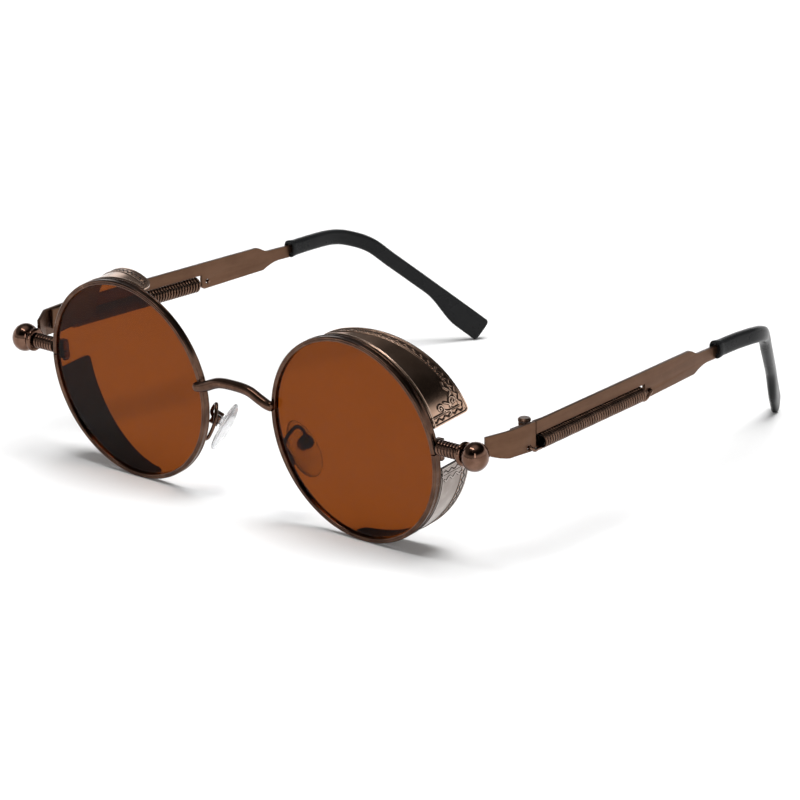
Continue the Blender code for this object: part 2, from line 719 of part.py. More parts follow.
def temple_point(distance, height, outward=0.0):
    """A point on the temple's middle plane, measured back from the seam."""
    along = Vector((-math.sin(TEMPLE_TOE_IN), math.cos(TEMPLE_TOE_IN), 0.0))
    out = Vector((math.cos(TEMPLE_TOE_IN), math.sin(TEMPLE_TOE_IN), 0.0))
    start = Vector((seam_x(), SEAM_Y + TOUCH_GAP, 0.0)) - out * TEMPLE_THICKNESS / 2
    return start + along * distance + out * outward + Vector((0, 0, height))


def rear_hole():
    """Distance from the seam and height of the hole for the spring's rear hook."""
    return NOTCH_LENGTH + REAR_HOLE_SETBACK, NOTCH_REAR_LOW + REAR_HOLE_RISE


def neck_end():
    return NECK_START + NECK_LENGTH


def tip_height():
    """Height of the ear tip's middle line, and of the core inside it."""
    return (NECK_HIGH + NECK_LOW) / 2 + TIP_RISE


def make_temple(side_name, side, pivot):
    """Flat temple plate with the spring's notch cut in its lower edge and a core for the tip."""
    end = neck_end()
    core_end = end + CORE_LENGTH
    core_high = tip_height() + CORE_HEIGHT / 2
    core_low = tip_height() - CORE_HEIGHT / 2
    hump = []
    for i in range(7):
        share = i / 6
        rise = (1 + math.cos(math.pi * share)) / 2
        hump.append((TEMPLE_HUMP + share * (NECK_START - TEMPLE_HUMP) * TEMPLE_HUMP_REACH,
                     blend(NECK_HIGH, TEMPLE_HUMP_HIGH, rise)))
    belly = []
    for i in range(5):
        share = i / 4
        belly.append((blend(NECK_START + TEMPLE_BELLY_REACH, TEMPLE_CORNER, share),
                      blend(NECK_LOW, TEMPLE_CORNER_LOW, share ** TEMPLE_BELLY_POWER)))
    corner = []
    for i in range(5):
        angle = math.radians(90 * i / 4)
        corner.append((NOTCH_LENGTH + NOTCH_CORNER * (1 - math.sin(angle)),
                       NOTCH_REAR_LOW + NOTCH_CORNER * (1 - math.cos(angle))))
    outline = [(0.0, NOTCH_FRONT_HIGH), (0.0, TEMPLE_FRONT_HIGH)] + hump
    outline += [(end, NECK_HIGH), (end, core_high), (core_end, core_high)]
    outline += [(core_end, core_low), (end, core_low), (end, NECK_LOW)] + belly + corner
    outline.append((NOTCH_LENGTH, NOTCH_REAR_HIGH))
    name = "temple_" + side_name
    start = mirrored(temple_point(0, 0) - pivot_point(), side)
    rotation = (math.radians(90), 0, math.radians(90) + side * TEMPLE_TOE_IN)
    plate = plate_object(name, outline, TEMPLE_THICKNESS)
    place(plate, pivot, start, rotation, SATIN)
    temple = made_mesh(plate)
    distance, height = rear_hole()
    bore = rod_mesh("hook_bore", HOOK_HOLE_RADIUS, -TEMPLE_THICKNESS * 2, TEMPLE_THICKNESS * 2, 16)
    hole = mirrored(temple_point(distance, height) - pivot_point(), side)
    turn = (0, math.radians(90), side * TEMPLE_TOE_IN)
    combine(temple, cutter("hook_bore_rear_" + side_name, bore, pivot, hole, turn), "DIFFERENCE")


def pivot_point():
    return Vector((*hinge_axis(), 0.0))


def mirrored(point, side):
    return Vector((side * point[0], point[1], point[2]))


def spring_points():
    """One wire from the front hole, through the coil, to the rear hole."""
    reach = PLATE_THICKNESS / 2 + HOOK_REACH
    steps = SPRING_TURNS * SPRING_POINTS
    coil = []
    for i in range(steps + 1):
        share = i / steps
        angle = SPRING_START_TURN + 2 * math.pi * i / SPRING_POINTS
        height = blend(SPRING_FRONT_HEIGHT, SPRING_REAR_HEIGHT, share)
        coil.append(temple_point(SPRING_START + share * SPRING_LENGTH, height + SPRING_RADIUS * math.sin(angle),
                                 SPRING_RADIUS * math.cos(angle)))
    hole = hook_hole_front()
    out = Vector((1.0, 0.0, 0.0))
    front = smooth_route([
        hole - out * reach,
        hole + out * (reach - HOOK_INSET),
        hole + Vector((reach + HOOK_BOW, FRONT_HOOK_BACK, -FRONT_HOOK_DROP)),
        blend(hole + Vector((reach, FRONT_HOOK_BACK, -FRONT_HOOK_DROP)), coil[0], FRONT_HOOK_EASE),
    ], 2)
    distance, height = rear_hole()
    last = SPRING_START + SPRING_LENGTH
    rear = smooth_route([
        temple_point(last + REAR_HOOK_START, height - REAR_HOOK_DROP, reach + HOOK_BOW),
        temple_point(distance - REAR_HOOK_TURN, height - REAR_HOOK_TURN_DROP, reach + HOOK_BOW),
        temple_point(distance, height, reach - HOOK_INSET),
        temple_point(distance, height, -reach),
    ], 2)
    return front + coil + rear


def least_gap(points, wire_radius, apart):
    """Least distance between wire surfaces, for points that lie some steps apart."""
    least = 1.0
    for i, a in enumerate(points):
        for b in points[i + apart:i + 6 * apart]:
            least = min(least, (a - b).length)
    return least - 2 * wire_radius


def make_spring(side_name, side, pivot):
    points = spring_points()
    local = [mirrored(p - pivot_point(), side) for p in points]
    spring = wire_object("spring_" + side_name, local, SPRING_WIRE_RADIUS, 1)
    place(spring, pivot, material=WIRE)
    print("spring", side_name, "least gap to itself, mm:",
          round(least_gap(points, SPRING_WIRE_RADIUS, SPRING_POINTS - 2) / MM, 3))


def tip_route():
    """Middle line of the ear tip: straight on, round the bend, then down and inward."""
    start = temple_point(neck_end() + TOUCH_GAP, tip_height())
    ahead = Vector((-TIP_TOE_IN, 1.0, 0.0)).normalized()
    bend = start + ahead * TIP_STRAIGHT
    turned = bend + Vector((-TIP_BEND_INWARD, TIP_BEND_BACK, -TIP_BEND_DROP))
    end = bend + Vector((-TIP_END_INWARD, TIP_END_BACK, -TIP_END_DROP))
    knots = [start, blend(start, bend, 0.5), bend, turned]
    knots += [blend(turned, end, share) for share in (0.33, 0.66, 1.0)]
    return smooth_route(knots, 4)


def tip_sections():
    """Rings of points round the ear tip, from its mouth to its rounded end."""
    route = tip_route()
    lengths = [0.0]
    for a, b in zip(route, route[1:]):
        lengths.append(lengths[-1] + (b - a).length)
    rings = []
    for i in range(TIP_STATIONS + 1):
        share = i / TIP_STATIONS
        target = share * lengths[-1]
        k = max(j for j in range(len(lengths)) if lengths[j] <= target + 1e-9)
        k = min(k, len(route) - 2)
        step = (target - lengths[k]) / (lengths[k + 1] - lengths[k])
        centre = blend(route[k], route[k + 1], step)
        before = route[max(k - 1, 0)]
        after = route[min(k + 2, len(route) - 1)]
        tangent = (after - before).normalized()
        across = Vector((tangent.y, -tangent.x, 0.0)).normalized()
        tall = across.cross(tangent).normalized()
        height = blend(TIP_FRONT_HEIGHT, TIP_WAIST_HEIGHT, min(share / TIP_FLARE_START, 1.0))
        rise = min(max((share - TIP_FLARE_START) / (TIP_FLARE_END - TIP_FLARE_START), 0.0), 1.0)
        flare = (TIP_END_HEIGHT - TIP_WAIST_HEIGHT) * rise * rise * (3 - 2 * rise)
        thick = blend(TIP_FRONT_THICKNESS, TIP_END_THICKNESS, share)
        rings.append((centre - tall * flare / 2, tall, (height + flare) / 2, across, thick / 2, tangent))
    return rings


def ring_points(centre, tall, across):
    """A rounded section between an ellipse and a box, from its two half axes."""
    points = []
    for i in range(TIP_SIDES):
        angle = 2 * math.pi * (i + 0.5) / TIP_SIDES
        c, s = math.cos(angle), math.sin(angle)
        points.append(centre + tall * math.copysign(abs(c) ** TIP_SQUARENESS, c)
                      + across * math.copysign(abs(s) ** TIP_SQUARENESS, s))
    return points


def make_tip(side_name, side, pivot):
    """Ear tip lofted from its mouth to a broad rounded paddle that rests on the floor."""
    rings = tip_sections()
    sections = [ring_points(c, tall * high, across * thick) for c, tall, high, across, thick, _ in rings]
    centre, tall, high, across, thick, tangent = rings[-1]
    for angle in (math.radians(40), math.radians(75)):
        inset = TIP_END_ROUNDING * (1 - math.cos(angle))
        forward = tangent * TIP_END_ROUNDING * math.sin(angle)
        sections.append(ring_points(centre + forward, tall * (high - inset), across * (thick - inset)))
    lows = [min(p.z for p in ring) for ring in sections]
    foot = lows.index(min(lows))
    for i, ring in enumerate(sections):
        fall = (FLOOR - lows[foot]) * min(i / foot, 1.0) ** 2
        for p in ring:
            p.z += fall
    bm = bmesh.new()
    rows = [[bm.verts.new(mirrored(p - pivot_point(), side)) for p in ring] for ring in sections]
    for a, b in zip(rows, rows[1:]):
        for i in range(TIP_SIDES):
            j = (i + 1) % TIP_SIDES
            bm.faces.new((a[i], a[j], b[j], b[i]))
    bm.faces.new(rows[0])
    bm.faces.new(rows[-1])
    bmesh.ops.recalc_face_normals(bm, faces=bm.faces)
    name = "tip_" + side_name
    tip = place(bpy.data.objects.new(name, mesh_from(name, bm, math.radians(50))), pivot, material=BLACK)
    play = BORE_GAP
    slot = box_mesh("core_slot", (-TEMPLE_THICKNESS, -CORE_HEIGHT / 2 - play, -TEMPLE_THICKNESS / 2 - play),
                    (CORE_LENGTH + play, CORE_HEIGHT / 2 + play, TEMPLE_THICKNESS / 2 + play))
    start = mirrored(temple_point(neck_end(), tip_height()) - pivot_point(), side)
    rotation = (math.radians(90), 0, math.radians(90) + side * TEMPLE_TOE_IN)
    combine(tip, cutter("core_slot_" + side_name, slot, pivot, start, rotation), "DIFFERENCE")


def nasal_edge():
    """How far from the middle of the face the rims' inner edges are."""
    return LENS_X - RIM_RADIUS


def pad_frame_matrix(side):
    """Axes of a nose pad: X across it, Y along it (upward), Z out of its face, to the nose."""
    up = Vector((-side * math.sin(PAD_SPLAY), 0.0, math.cos(PAD_SPLAY)))
    face = Vector((-side * math.cos(PAD_FACE_TURN), math.sin(PAD_FACE_TURN), 0.0))
    face = (face - up * face.dot(up)).normalized()
    across = up.cross(face)
    return Matrix((across, up, face)).transposed()


def pad_pivot(side):
    """Middle of the pad's screw."""
    axes = pad_frame_matrix(side)
    centre = mirrored((nasal_edge() + PAD_BESIDE_RIM, PAD_BACK, -PAD_DROP), side)
    return centre + axes @ Vector((0.0, PAD_BOX_ALONG, -PAD_THICKNESS / 2 - PAD_SCREW_DEPTH))


def make_nose_pad(side_name, side, front):
    """Silicone pad whose tab is held by a screw in a round box on a wire arm."""
    axes = pad_frame_matrix(side)
    pivot = empty("pad_pivot_" + side_name, front, pad_pivot(side), axes.to_euler())
    back_face = PAD_SCREW_DEPTH

    bm = bmesh.new()
    bmesh.ops.create_uvsphere(bm, u_segments=SMALL_SEGMENTS, v_segments=8, radius=1.0)
    for vert in bm.verts:
        x, y, z = vert.co
        depth = back_face + PAD_THICKNESS * (PAD_BACK_SHARE + z * (1 - PAD_BACK_SHARE if z > 0 else PAD_BACK_SHARE))
        narrow = 1 - PAD_NARROWING * y
        vert.co = (x * PAD_WIDTH / 2 * narrow, y * PAD_LENGTH / 2 - PAD_BOX_ALONG, depth)
    name = "nose_pad_" + side_name
    pad = place(bpy.data.objects.new(name, mesh_from(name, bm, math.radians(60))), pivot, material=CLEAR)
    tab = box_mesh("pad_tab", (-PAD_TAB_THICKNESS / 2, -PAD_TAB_HEIGHT / 2, -PAD_SCREW_RADIUS - PAD_TAB_MARGIN),
                   (PAD_TAB_THICKNESS / 2, PAD_TAB_HEIGHT / 2, back_face + PAD_TAB_ROOT))
    combine(pad, cutter("pad_tab_" + side_name, tab, pivot), "UNION")
    across = (0, math.radians(90), 0)
    reach = 2 * PAD_BOX_RADIUS
    bore = rod_mesh("pad_bore", PAD_SCREW_RADIUS + PAD_BORE_GAP, -PAD_TAB_THICKNESS, PAD_TAB_THICKNESS, 12)
    combine(pad, cutter("pad_bore_" + side_name, bore, pivot, rotation=across), "DIFFERENCE")

    name = "pad_box_" + side_name
    cup = rod_mesh(name, PAD_BOX_RADIUS, -PAD_BOX_BACK, PAD_BOX_FRONT, SMALL_SEGMENTS)
    box = place(bpy.data.objects.new(name, cup), pivot, material=BRONZE)
    slot = box_mesh("pad_slot", (-PAD_SLOT_WIDTH / 2, -reach, -PAD_SCREW_RADIUS - PAD_TAB_MARGIN - BORE_GAP),
                    (PAD_SLOT_WIDTH / 2, reach, 2 * PAD_BOX_FRONT))
    combine(box, cutter("pad_slot_" + side_name, slot, pivot), "DIFFERENCE")
    bore = rod_mesh("pad_box_bore", PAD_SCREW_RADIUS + PAD_BORE_GAP, -reach, reach, 12)
    combine(box, cutter("pad_box_bore_" + side_name, bore, pivot, rotation=across), "DIFFERENCE")

    half = PAD_BOX_RADIUS
    profile = [(0.0, half), (PAD_SCREW_RADIUS, half), (PAD_SCREW_RADIUS, -half), (0.0, -half)]
    screw = turned_mesh_object("pad_screw_" + side_name, profile, False, 12)
    place(screw, pivot, rotation=across, material=WIRE)

    arm = wire_object("pad_arm_" + side_name, arm_route(side, axes), ARM_RADIUS, 1)
    place(arm, front, material=BRONZE)


def arm_route(side, axes):
    """Line of the pad's arm: up the back of the rim, over, and down to the back of the box."""
    box = pad_pivot(side)
    back = axes @ Vector((0.0, 0.0, -1.0))
    up = axes @ Vector((0.0, 1.0, 0.0))
    behind = PAD_BOX_BACK + TOUCH_GAP
    join = box + back * behind
    elbow = box + back * (behind + ARM_RADIUS) + up * ARM_ELBOW_RISE
    above = box + back * (behind + ARM_RADIUS) + up * ARM_ABOVE_RISE
    top = box + Vector((-side * ARM_TOP_NASAL, -ARM_TOP_FORWARD, ARM_TOP_RISE))
    lens_matrix = Matrix.Rotation(FRONT_TILT, 3, "X")
    centre = Vector((side * LENS_X, 0, 0))
    seat = RIM_DEPTH / 2 + TOUCH_GAP
    stations = (
        (ARM_FOOT_ANGLE, RIM_RADIUS - RIM_WALL / 2, seat),
        (ARM_FOOT_ANGLE - ARM_LAPPED, RIM_RADIUS - RIM_WALL / 4, seat + ARM_RADIUS * 1.4),
        (ARM_RISE_ANGLE, RIM_RADIUS + RIM_WALL / 3, seat + ARM_RADIUS * 2),
    )
    route = []
    for angle, radius, behind in stations:
        local = Vector((side * radius * math.cos(angle), behind, radius * math.sin(angle)))
        route.append(centre + lens_matrix @ local)
    return smooth_route(route + [top, above, elbow, join], 3)


def make_bridge(front):
    """Bent wire between the rims, soldered to their front faces."""
    ends_y = -BRIDGE_FORWARD
    end_x = nasal_edge() + BRIDGE_LAP
    half = [
        (end_x, ends_y, BRIDGE_END_HEIGHT),
        (end_x * BRIDGE_BEND, ends_y, BRIDGE_END_HEIGHT + BRIDGE_END_RISE),
        (end_x * BRIDGE_SHOULDER, ends_y, blend(BRIDGE_END_HEIGHT, BRIDGE_TOP_HEIGHT, BRIDGE_SHOULDER_RISE)),
        (end_x * BRIDGE_CROWN, ends_y, blend(BRIDGE_END_HEIGHT, BRIDGE_TOP_HEIGHT, BRIDGE_CROWN_RISE)),
    ]
    points = [(-x, y, z) for x, y, z in half] + [(0.0, ends_y, BRIDGE_TOP_HEIGHT)]
    points += list(reversed(half))
    wire = wire_object("bridge", smooth_route(points, 3), BRIDGE_RADIUS, 3)
    place(wire, front, material=BRONZE)
    bridge = made_mesh(wire)
    return bridge


def cut_bridge_seat(bridge, side_name, side, lens_frame):
    """Flat seat on the back of the bridge's end, against the front face of the rim."""
    seat = -RIM_DEPTH / 2 - TOUCH_GAP
    low = (-side * (RIM_RADIUS + TOUCH_GAP), seat, -RIM_RADIUS / 2)
    high = (-side * RIM_RADIUS * 0.8, seat + 4 * BRIDGE_RADIUS, RIM_RADIUS / 2)
    block = box_mesh("bridge_seat_" + side_name, *ordered(low, high))
    combine(bridge, cutter("bridge_seat_" + side_name, block, lens_frame), "DIFFERENCE")


def set_down(root):
    """Stand the glasses on the floor, with the middle of their length over the origin."""
    bpy.context.view_layer.update()
    graph = bpy.context.evaluated_depsgraph_get()
    corners = []
    for obj in PARTS.objects:
        if obj.type == "EMPTY":
            continue
        mesh = obj.evaluated_get(graph).to_mesh()
        corners += [obj.matrix_world @ v.co for v in mesh.vertices]
        obj.evaluated_get(graph).to_mesh_clear()
    front = min(c.y for c in corners)
    back = max(c.y for c in corners)
    lowest = min(c.z for c in corners)
    root.location = (0.0, -(front + back) / 2, -lowest)
    bpy.context.view_layer.update()
    print("root location, mm:", [round(v / MM, 4) for v in root.location])


def build():
    root = empty("glasses")
    bridge = make_bridge(root)
    for side_name, side in SIDES:
        lens_frame = empty("lens_frame_" + side_name, root, (side * LENS_X, 0, 0), (FRONT_TILT, 0, 0))
        rim = make_rim(side_name, lens_frame)
        cut_rim_slit(rim, side_name, side, lens_frame)
        make_lens(side_name, lens_frame)
        make_shield("upper_shield_" + side_name, UPPER_SHIELD, side, lens_frame)
        make_shield("lower_shield_" + side_name, LOWER_SHIELD, side, lens_frame)
        make_rim_lock(side_name, side, lens_frame)
        cut_bridge_seat(bridge, side_name, side, lens_frame)
        make_stud(side_name, side, root)
        make_hinge_plate(side_name, side, root)
        make_nose_pad(side_name, side, root)
        pivot = empty("temple_pivot_" + side_name, root, mirrored(pivot_point(), side))
        make_hinge(side_name, side, root, pivot)
        make_temple(side_name, side, pivot)
        make_spring(side_name, side, pivot)
        make_tip(side_name, side, pivot)
    set_down(root)
    bpy.context.view_layer.update()
    for name in ("temple_pivot_left", "temple_pivot_right", "pad_pivot_left", "pad_pivot_right", "lens_frame_left"):
        print(name, "mm:", [round(v / MM, 3) for v in bpy.data.objects[name].matrix_world.translation])
    print("pad hinge axis:", [round(v, 5) for v in pad_frame_matrix(1).col[0]])
    print("hook hole, mm:", [round(v / MM, 2) for v in hook_hole_front()], "seam x", round(seam_x() / MM, 3),
          "knob x", round(knob_centre() / MM, 3))


build()
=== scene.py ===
import math
import bmesh
import bpy
from mathutils import Matrix, Vector
from mathutils.kdtree import KDTree


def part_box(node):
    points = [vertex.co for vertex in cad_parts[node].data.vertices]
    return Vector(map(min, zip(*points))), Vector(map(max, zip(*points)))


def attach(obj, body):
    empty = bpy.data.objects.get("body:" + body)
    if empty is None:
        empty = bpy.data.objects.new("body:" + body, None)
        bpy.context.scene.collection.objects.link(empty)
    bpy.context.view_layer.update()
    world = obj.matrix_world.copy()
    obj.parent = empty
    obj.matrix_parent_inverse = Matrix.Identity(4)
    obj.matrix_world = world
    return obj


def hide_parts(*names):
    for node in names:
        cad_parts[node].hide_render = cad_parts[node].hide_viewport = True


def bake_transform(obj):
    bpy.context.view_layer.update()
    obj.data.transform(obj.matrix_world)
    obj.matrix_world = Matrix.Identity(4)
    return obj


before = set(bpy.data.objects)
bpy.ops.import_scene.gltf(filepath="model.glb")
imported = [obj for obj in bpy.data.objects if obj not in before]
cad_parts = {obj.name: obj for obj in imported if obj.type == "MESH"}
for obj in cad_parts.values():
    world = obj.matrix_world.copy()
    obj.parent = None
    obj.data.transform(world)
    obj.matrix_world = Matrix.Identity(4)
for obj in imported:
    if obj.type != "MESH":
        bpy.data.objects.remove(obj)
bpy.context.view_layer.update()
mm = 0.001
middle = Vector((0.0, -69.8118, 25.1889)) * mm  # midway between the two lens centres
sides = (("left", 1), ("right", -1))
print("frame loaded:", len(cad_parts), "nodes")


# Nodes, for materials and for geometry

class Wire:  # a node's output, which can be used in sums
    def __init__(self, bench, socket):
        self.bench = bench
        self.socket = socket

    def also(self, name):  # another output of the same node
        return Wire(self.bench, self.socket.node.outputs[name])

    def __add__(self, other):
        return self.bench.sum("ADD", self, other)

    def __radd__(self, other):
        return self.bench.sum("ADD", other, self)

    def __sub__(self, other):
        return self.bench.sum("SUBTRACT", self, other)

    def __rsub__(self, other):
        return self.bench.sum("SUBTRACT", other, self)

    def __mul__(self, other):
        return self.bench.sum("MULTIPLY", self, other)

    def __rmul__(self, other):
        return self.bench.sum("MULTIPLY", other, self)

    def __truediv__(self, other):
        return self.bench.sum("DIVIDE", self, other)


class Bench:  # where the nodes of one tree are put down and joined up
    def __init__(self, tree):
        self.tree = tree

    def put(self, socket, value):
        if isinstance(value, Wire):
            self.tree.links.new(value.socket, socket)
        else:
            socket.default_value = value

    def node(self, kind, settings=None, inputs=None, output=0):
        made = self.tree.nodes.new(kind)
        for name, value in (settings or {}).items():
            if name == "stops":
                ramp = made.color_ramp.elements
                while len(ramp) < len(value):
                    ramp.new(0.5)
                for stop, (place, colour) in zip(ramp, value):
                    stop.position = place
                    stop.color = (*colour, 1.0)
            else:
                setattr(made, name, value)
        for name, value in (inputs or {}).items():
            for one in value if isinstance(value, list) else [value]:
                self.put(made.inputs[name], one)
        return Wire(self, made.outputs[output]) if made.outputs else None

    def sum(self, operation, a, b):
        return self.node("ShaderNodeMath", {"operation": operation}, {0: a, 1: b})

    def between(self, value, low, high, lowTo=0.0, highTo=1.0):  # a soft step from lowTo up to highTo
        return self.node("ShaderNodeMapRange", {"interpolation_type": "SMOOTHSTEP"}, {
            "Value": value, "From Min": low, "From Max": high, "To Min": lowTo, "To Max": highTo})

    def point(self, x=0.0, y=0.0, z=0.0):
        return self.node("ShaderNodeCombineXYZ", inputs={"X": x, "Y": y, "Z": z})

    def moved(self, shape, place):
        return self.node("GeometryNodeTransform", inputs={"Geometry": shape, "Translation": place})

    def joined(self, *shapes):
        return self.node("GeometryNodeJoinGeometry", inputs={"Geometry": list(shapes)})

    def circle(self, steps, radius):
        return self.node("GeometryNodeCurvePrimitiveCircle", inputs={"Resolution": steps, "Radius": radius})

    def cylinder(self, steps, radius, depth):
        return self.node("GeometryNodeMeshCylinder", inputs={
            "Vertices": steps, "Radius": radius, "Depth": depth})

    def swept(self, path, profile, caps=True):
        return self.node("GeometryNodeCurveToMesh", inputs={
            "Curve": path, "Profile Curve": profile, "Fill Caps": caps})


class Finish(Bench):  # one material, built on its own shader
    def __init__(self, name):
        self.material = bpy.data.materials.new(name)
        self.material.use_nodes = True
        super().__init__(self.material.node_tree)
        self.shader = self.tree.nodes["Principled BSDF"]
        self.out = self.tree.nodes["Material Output"]
        self.here = self.node("ShaderNodeTexCoord", output="Object")

    def set(self, **values):
        for name, value in values.items():
            self.put(self.shader.inputs[name.replace("_", " ")], value)

    def grain(self, scale, detail=4.0, stretch=(1.0, 1.0, 1.0)):
        place = self.node("ShaderNodeMapping", inputs={"Vector": self.here, "Scale": stretch})
        return self.node("ShaderNodeTexNoise", {"noise_dimensions": "3D"}, {
            "Vector": place, "Scale": scale, "Detail": detail, "Roughness": 0.55})

    def tint(self, share, a, b):  # colour a where share is 0, and b where it is 1
        first, second = [colour if isinstance(colour, Wire) else (*colour, 1.0) for colour in (a, b)]
        return self.node("ShaderNodeMix", {"data_type": "RGBA"}, {0: share, 6: first, 7: second}, 2)

    def relief(self, height, strength, distance):
        return self.node("ShaderNodeBump", inputs={
            "Strength": strength, "Distance": distance, "Height": height})

    def raised(self):  # how far the surface stands out, as written on the mesh by its maker
        return self.node("ShaderNodeAttribute", {"attribute_name": "relief"}, output="Fac")

    def letLampsThrough(self, colour):  # so that a see-through piece throws a pale shadow
        clear = self.node("ShaderNodeBsdfTransparent", inputs={"Color": (*colour, 1.0)})
        ray = self.node("ShaderNodeLightPath", output="Is Shadow Ray")
        body = Wire(self, self.shader.outputs[0])
        mixed = self.node("ShaderNodeMixShader", inputs={0: ray, 1: body, 2: clear})
        self.put(self.out.inputs["Surface"], mixed)


# Finishes: colours, how rough each is, and the scales of its grain

# groove is a painted shade colour, for the slopes beside relief and the valleys between ribs
bronzeLook = {
    "base": (0.205, 0.116, 0.082), "deep": (0.128, 0.069, 0.047), "worn": (0.520, 0.325, 0.225),
    "groove": (0.022, 0.013, 0.009), "roughness": 0.08, "mottle": 260.0, "scratch": 2600.0, "speck": 9000.0,
    "rubbing": 700.0, "bump": 0.04 * mm,
}
rimLook = dict(bronzeLook, base=(0.125, 0.068, 0.045), deep=(0.070, 0.037, 0.025))
shieldLook = dict(bronzeLook, base=(0.560, 0.372, 0.275), deep=(0.450, 0.290, 0.205),
                  worn=(0.780, 0.590, 0.470))
# a paler, greyer copy of the shield finish for the lower shields: painted reflection of the pale floor
paintedReflectionLook = dict(bronzeLook, base=(0.430, 0.375, 0.345), deep=(0.320, 0.275, 0.250),
                worn=(0.600, 0.530, 0.490), roughness=0.24)


def darkBronze(name, look=bronzeLook, worn=0.0, relief=False, shadeInGrooves=False):  # polished dark bronze plating
    skin = Finish(name)
    cloud = skin.grain(look["mottle"], 3.0)
    fine = skin.grain(look["scratch"], 3.0, (1.0, 0.12, 1.0))
    speck = skin.grain(look["speck"], 2.0)
    colour = skin.tint(skin.between(cloud, 0.35, 0.7), look["deep"], look["base"])
    rubFrom, rubTo, rubMost = 0.62 - 0.45 * worn, 0.80 - 0.3 * worn, 0.35 + 0.5 * worn
    rub = skin.between(skin.grain(look["rubbing"], 5.0), rubFrom, rubTo, 0.0, rubMost)
    rough = look["roughness"] + 0.07 * cloud + 0.04 * fine
    if relief:  # raised ornament gets the worn colour on top, as wear and as painted highlight, and painted shade darkens the slopes beside it
        high = skin.raised()
        corner = skin.between(4.0 * high * (1.0 - high), 0.25, 0.80)
        colour = skin.tint(corner * 0.92, colour, look["groove"])
        rub = (rub + 0.45) * skin.between(high, 0.72, 1.0)
        rough = rough + 0.28 * corner
    if shadeInGrooves:  # painted shade darkens the valleys between turned ribs, and keeps the worn colour off them
        high = skin.raised()
        colour = skin.tint(high, look["groove"], colour)
        rub = rub * high
    skin.set(Base_Color=skin.tint(rub, colour, look["worn"]), Metallic=1.0, Roughness=rough,
             Normal=skin.relief(speck * 0.5 + fine * 0.5, 0.05, look["bump"]))
    return skin.material


satinLook = {
    "base": (0.150, 0.081, 0.050), "deep": (0.117, 0.062, 0.038), "worn": (0.270, 0.165, 0.110),
    "roughness": 0.34, "mottle": 120.0, "streak": 520.0, "speck": 7000.0, "rubbing": 900.0, "bump": 0.03 * mm,
}


def satinBronze(name, worn=0.0):  # satin coffee-brown plating, with faint lines along the plate
    look = satinLook
    skin = Finish(name)
    cloud = skin.grain(look["mottle"], 3.0)
    streak = skin.grain(look["streak"], 4.0, (1.0, 0.05, 1.0))
    speck = skin.grain(look["speck"], 2.0)
    colour = skin.tint(skin.between(cloud * 0.5 + streak * 0.5, 0.36, 0.64), look["deep"], look["base"])
    rubFrom, rubTo, rubMost = 0.66 - 0.5 * worn, 0.84 - 0.3 * worn, 0.25 + 0.55 * worn
    rub = skin.between(skin.grain(look["rubbing"], 5.0), rubFrom, rubTo, 0.0, rubMost)
    skin.set(Base_Color=skin.tint(rub, colour, look["worn"]), Metallic=1.0,
             Roughness=look["roughness"] + 0.12 * streak + 0.05 * speck - 0.12 * worn,
             Normal=skin.relief(speck * 0.6 + streak * 0.4, 0.10, look["bump"]))
    return skin.material


# groove is a painted shade colour, for the wire between the turns
springLook = {
    "base": (0.215, 0.125, 0.085), "deep": (0.140, 0.080, 0.054), "groove": (0.010, 0.006, 0.004),
    "roughness": 0.18, "mottle": 320.0, "drawn": 5200.0, "bump": 0.01 * mm,
}


def springSteel():  # dark plated wire, with painted shade between the turns
    look = springLook
    skin = Finish("springWire")
    cloud = skin.grain(look["mottle"], 3.0)
    drawn = skin.grain(look["drawn"], 2.0, (1.0, 1.0, 0.3))
    colour = skin.tint(skin.between(cloud, 0.30, 0.70), look["deep"], look["base"])
    # painted shade: only the outer crest of each turn keeps the wire's colour
    skin.set(Base_Color=skin.tint(skin.raised(), look["groove"], colour), Metallic=1.0,
             Roughness=look["roughness"] + 0.08 * cloud, Normal=skin.relief(drawn, 0.04, look["bump"]))
    return skin.material


screwLook = {
    "base": (0.180, 0.108, 0.075), "deep": (0.075, 0.044, 0.031), "roughness": 0.24, "mottle": 1500.0,
    "speck": 8000.0, "bump": 0.02 * mm,
}


def screwSteel():  # darker, mottled screw metal
    look = screwLook
    skin = Finish("screwSteel")
    cloud = skin.grain(look["mottle"])
    skin.set(Base_Color=skin.tint(skin.between(cloud, 0.3, 0.7), look["deep"], look["base"]), Metallic=1.0,
             Roughness=look["roughness"] + 0.14 * cloud,
             Normal=skin.relief(skin.grain(look["speck"], 2.0), 0.08, look["bump"]))
    return skin.material


lensLook = {
    "tint": (0.186, 0.0425, 0.0036), "shadow": (0.42, 0.39, 0.37), "index": 1.16, "smear": 45.0,
    "smearDepth": 0.97, "roughness": 0.002,
}


def brownLens():  # brown glass with a faint smear
    look = lensLook
    skin = Finish("brownLens")
    smear = skin.grain(look["smear"], 3.0)
    smeared = [c * look["smearDepth"] for c in look["tint"]]
    skin.set(Base_Color=skin.tint(skin.between(smear, 0.3, 0.7), look["tint"], smeared),
             Roughness=look["roughness"] * smear, Transmission_Weight=1.0, IOR=look["index"])
    skin.letLampsThrough(look["shadow"])
    return skin.material


tipLook = {
    "base": (0.013, 0.013, 0.0135), "deep": (0.007, 0.0075, 0.008), "roughness": 0.22, "shine": 0.13,
    "mottle": 140.0, "peel": 900.0, "mark": 420.0, "bump": 0.05 * mm,
}


def tipBlack():  # glossy black acetate
    look = tipLook
    skin = Finish("tipBlack")
    cloud = skin.grain(look["mottle"])
    peel = skin.grain(look["peel"], 3.0)
    mark = skin.between(skin.grain(look["mark"], 6.0, (1.0, 0.25, 1.0)), 0.60, 0.75)
    skin.set(Base_Color=skin.tint(cloud, look["deep"], look["base"]),
             Roughness=look["roughness"] + 0.12 * cloud + 0.10 * mark, Specular_IOR_Level=look["shine"],
             Normal=skin.relief(peel + mark * 0.3, 0.10, look["bump"]))
    return skin.material


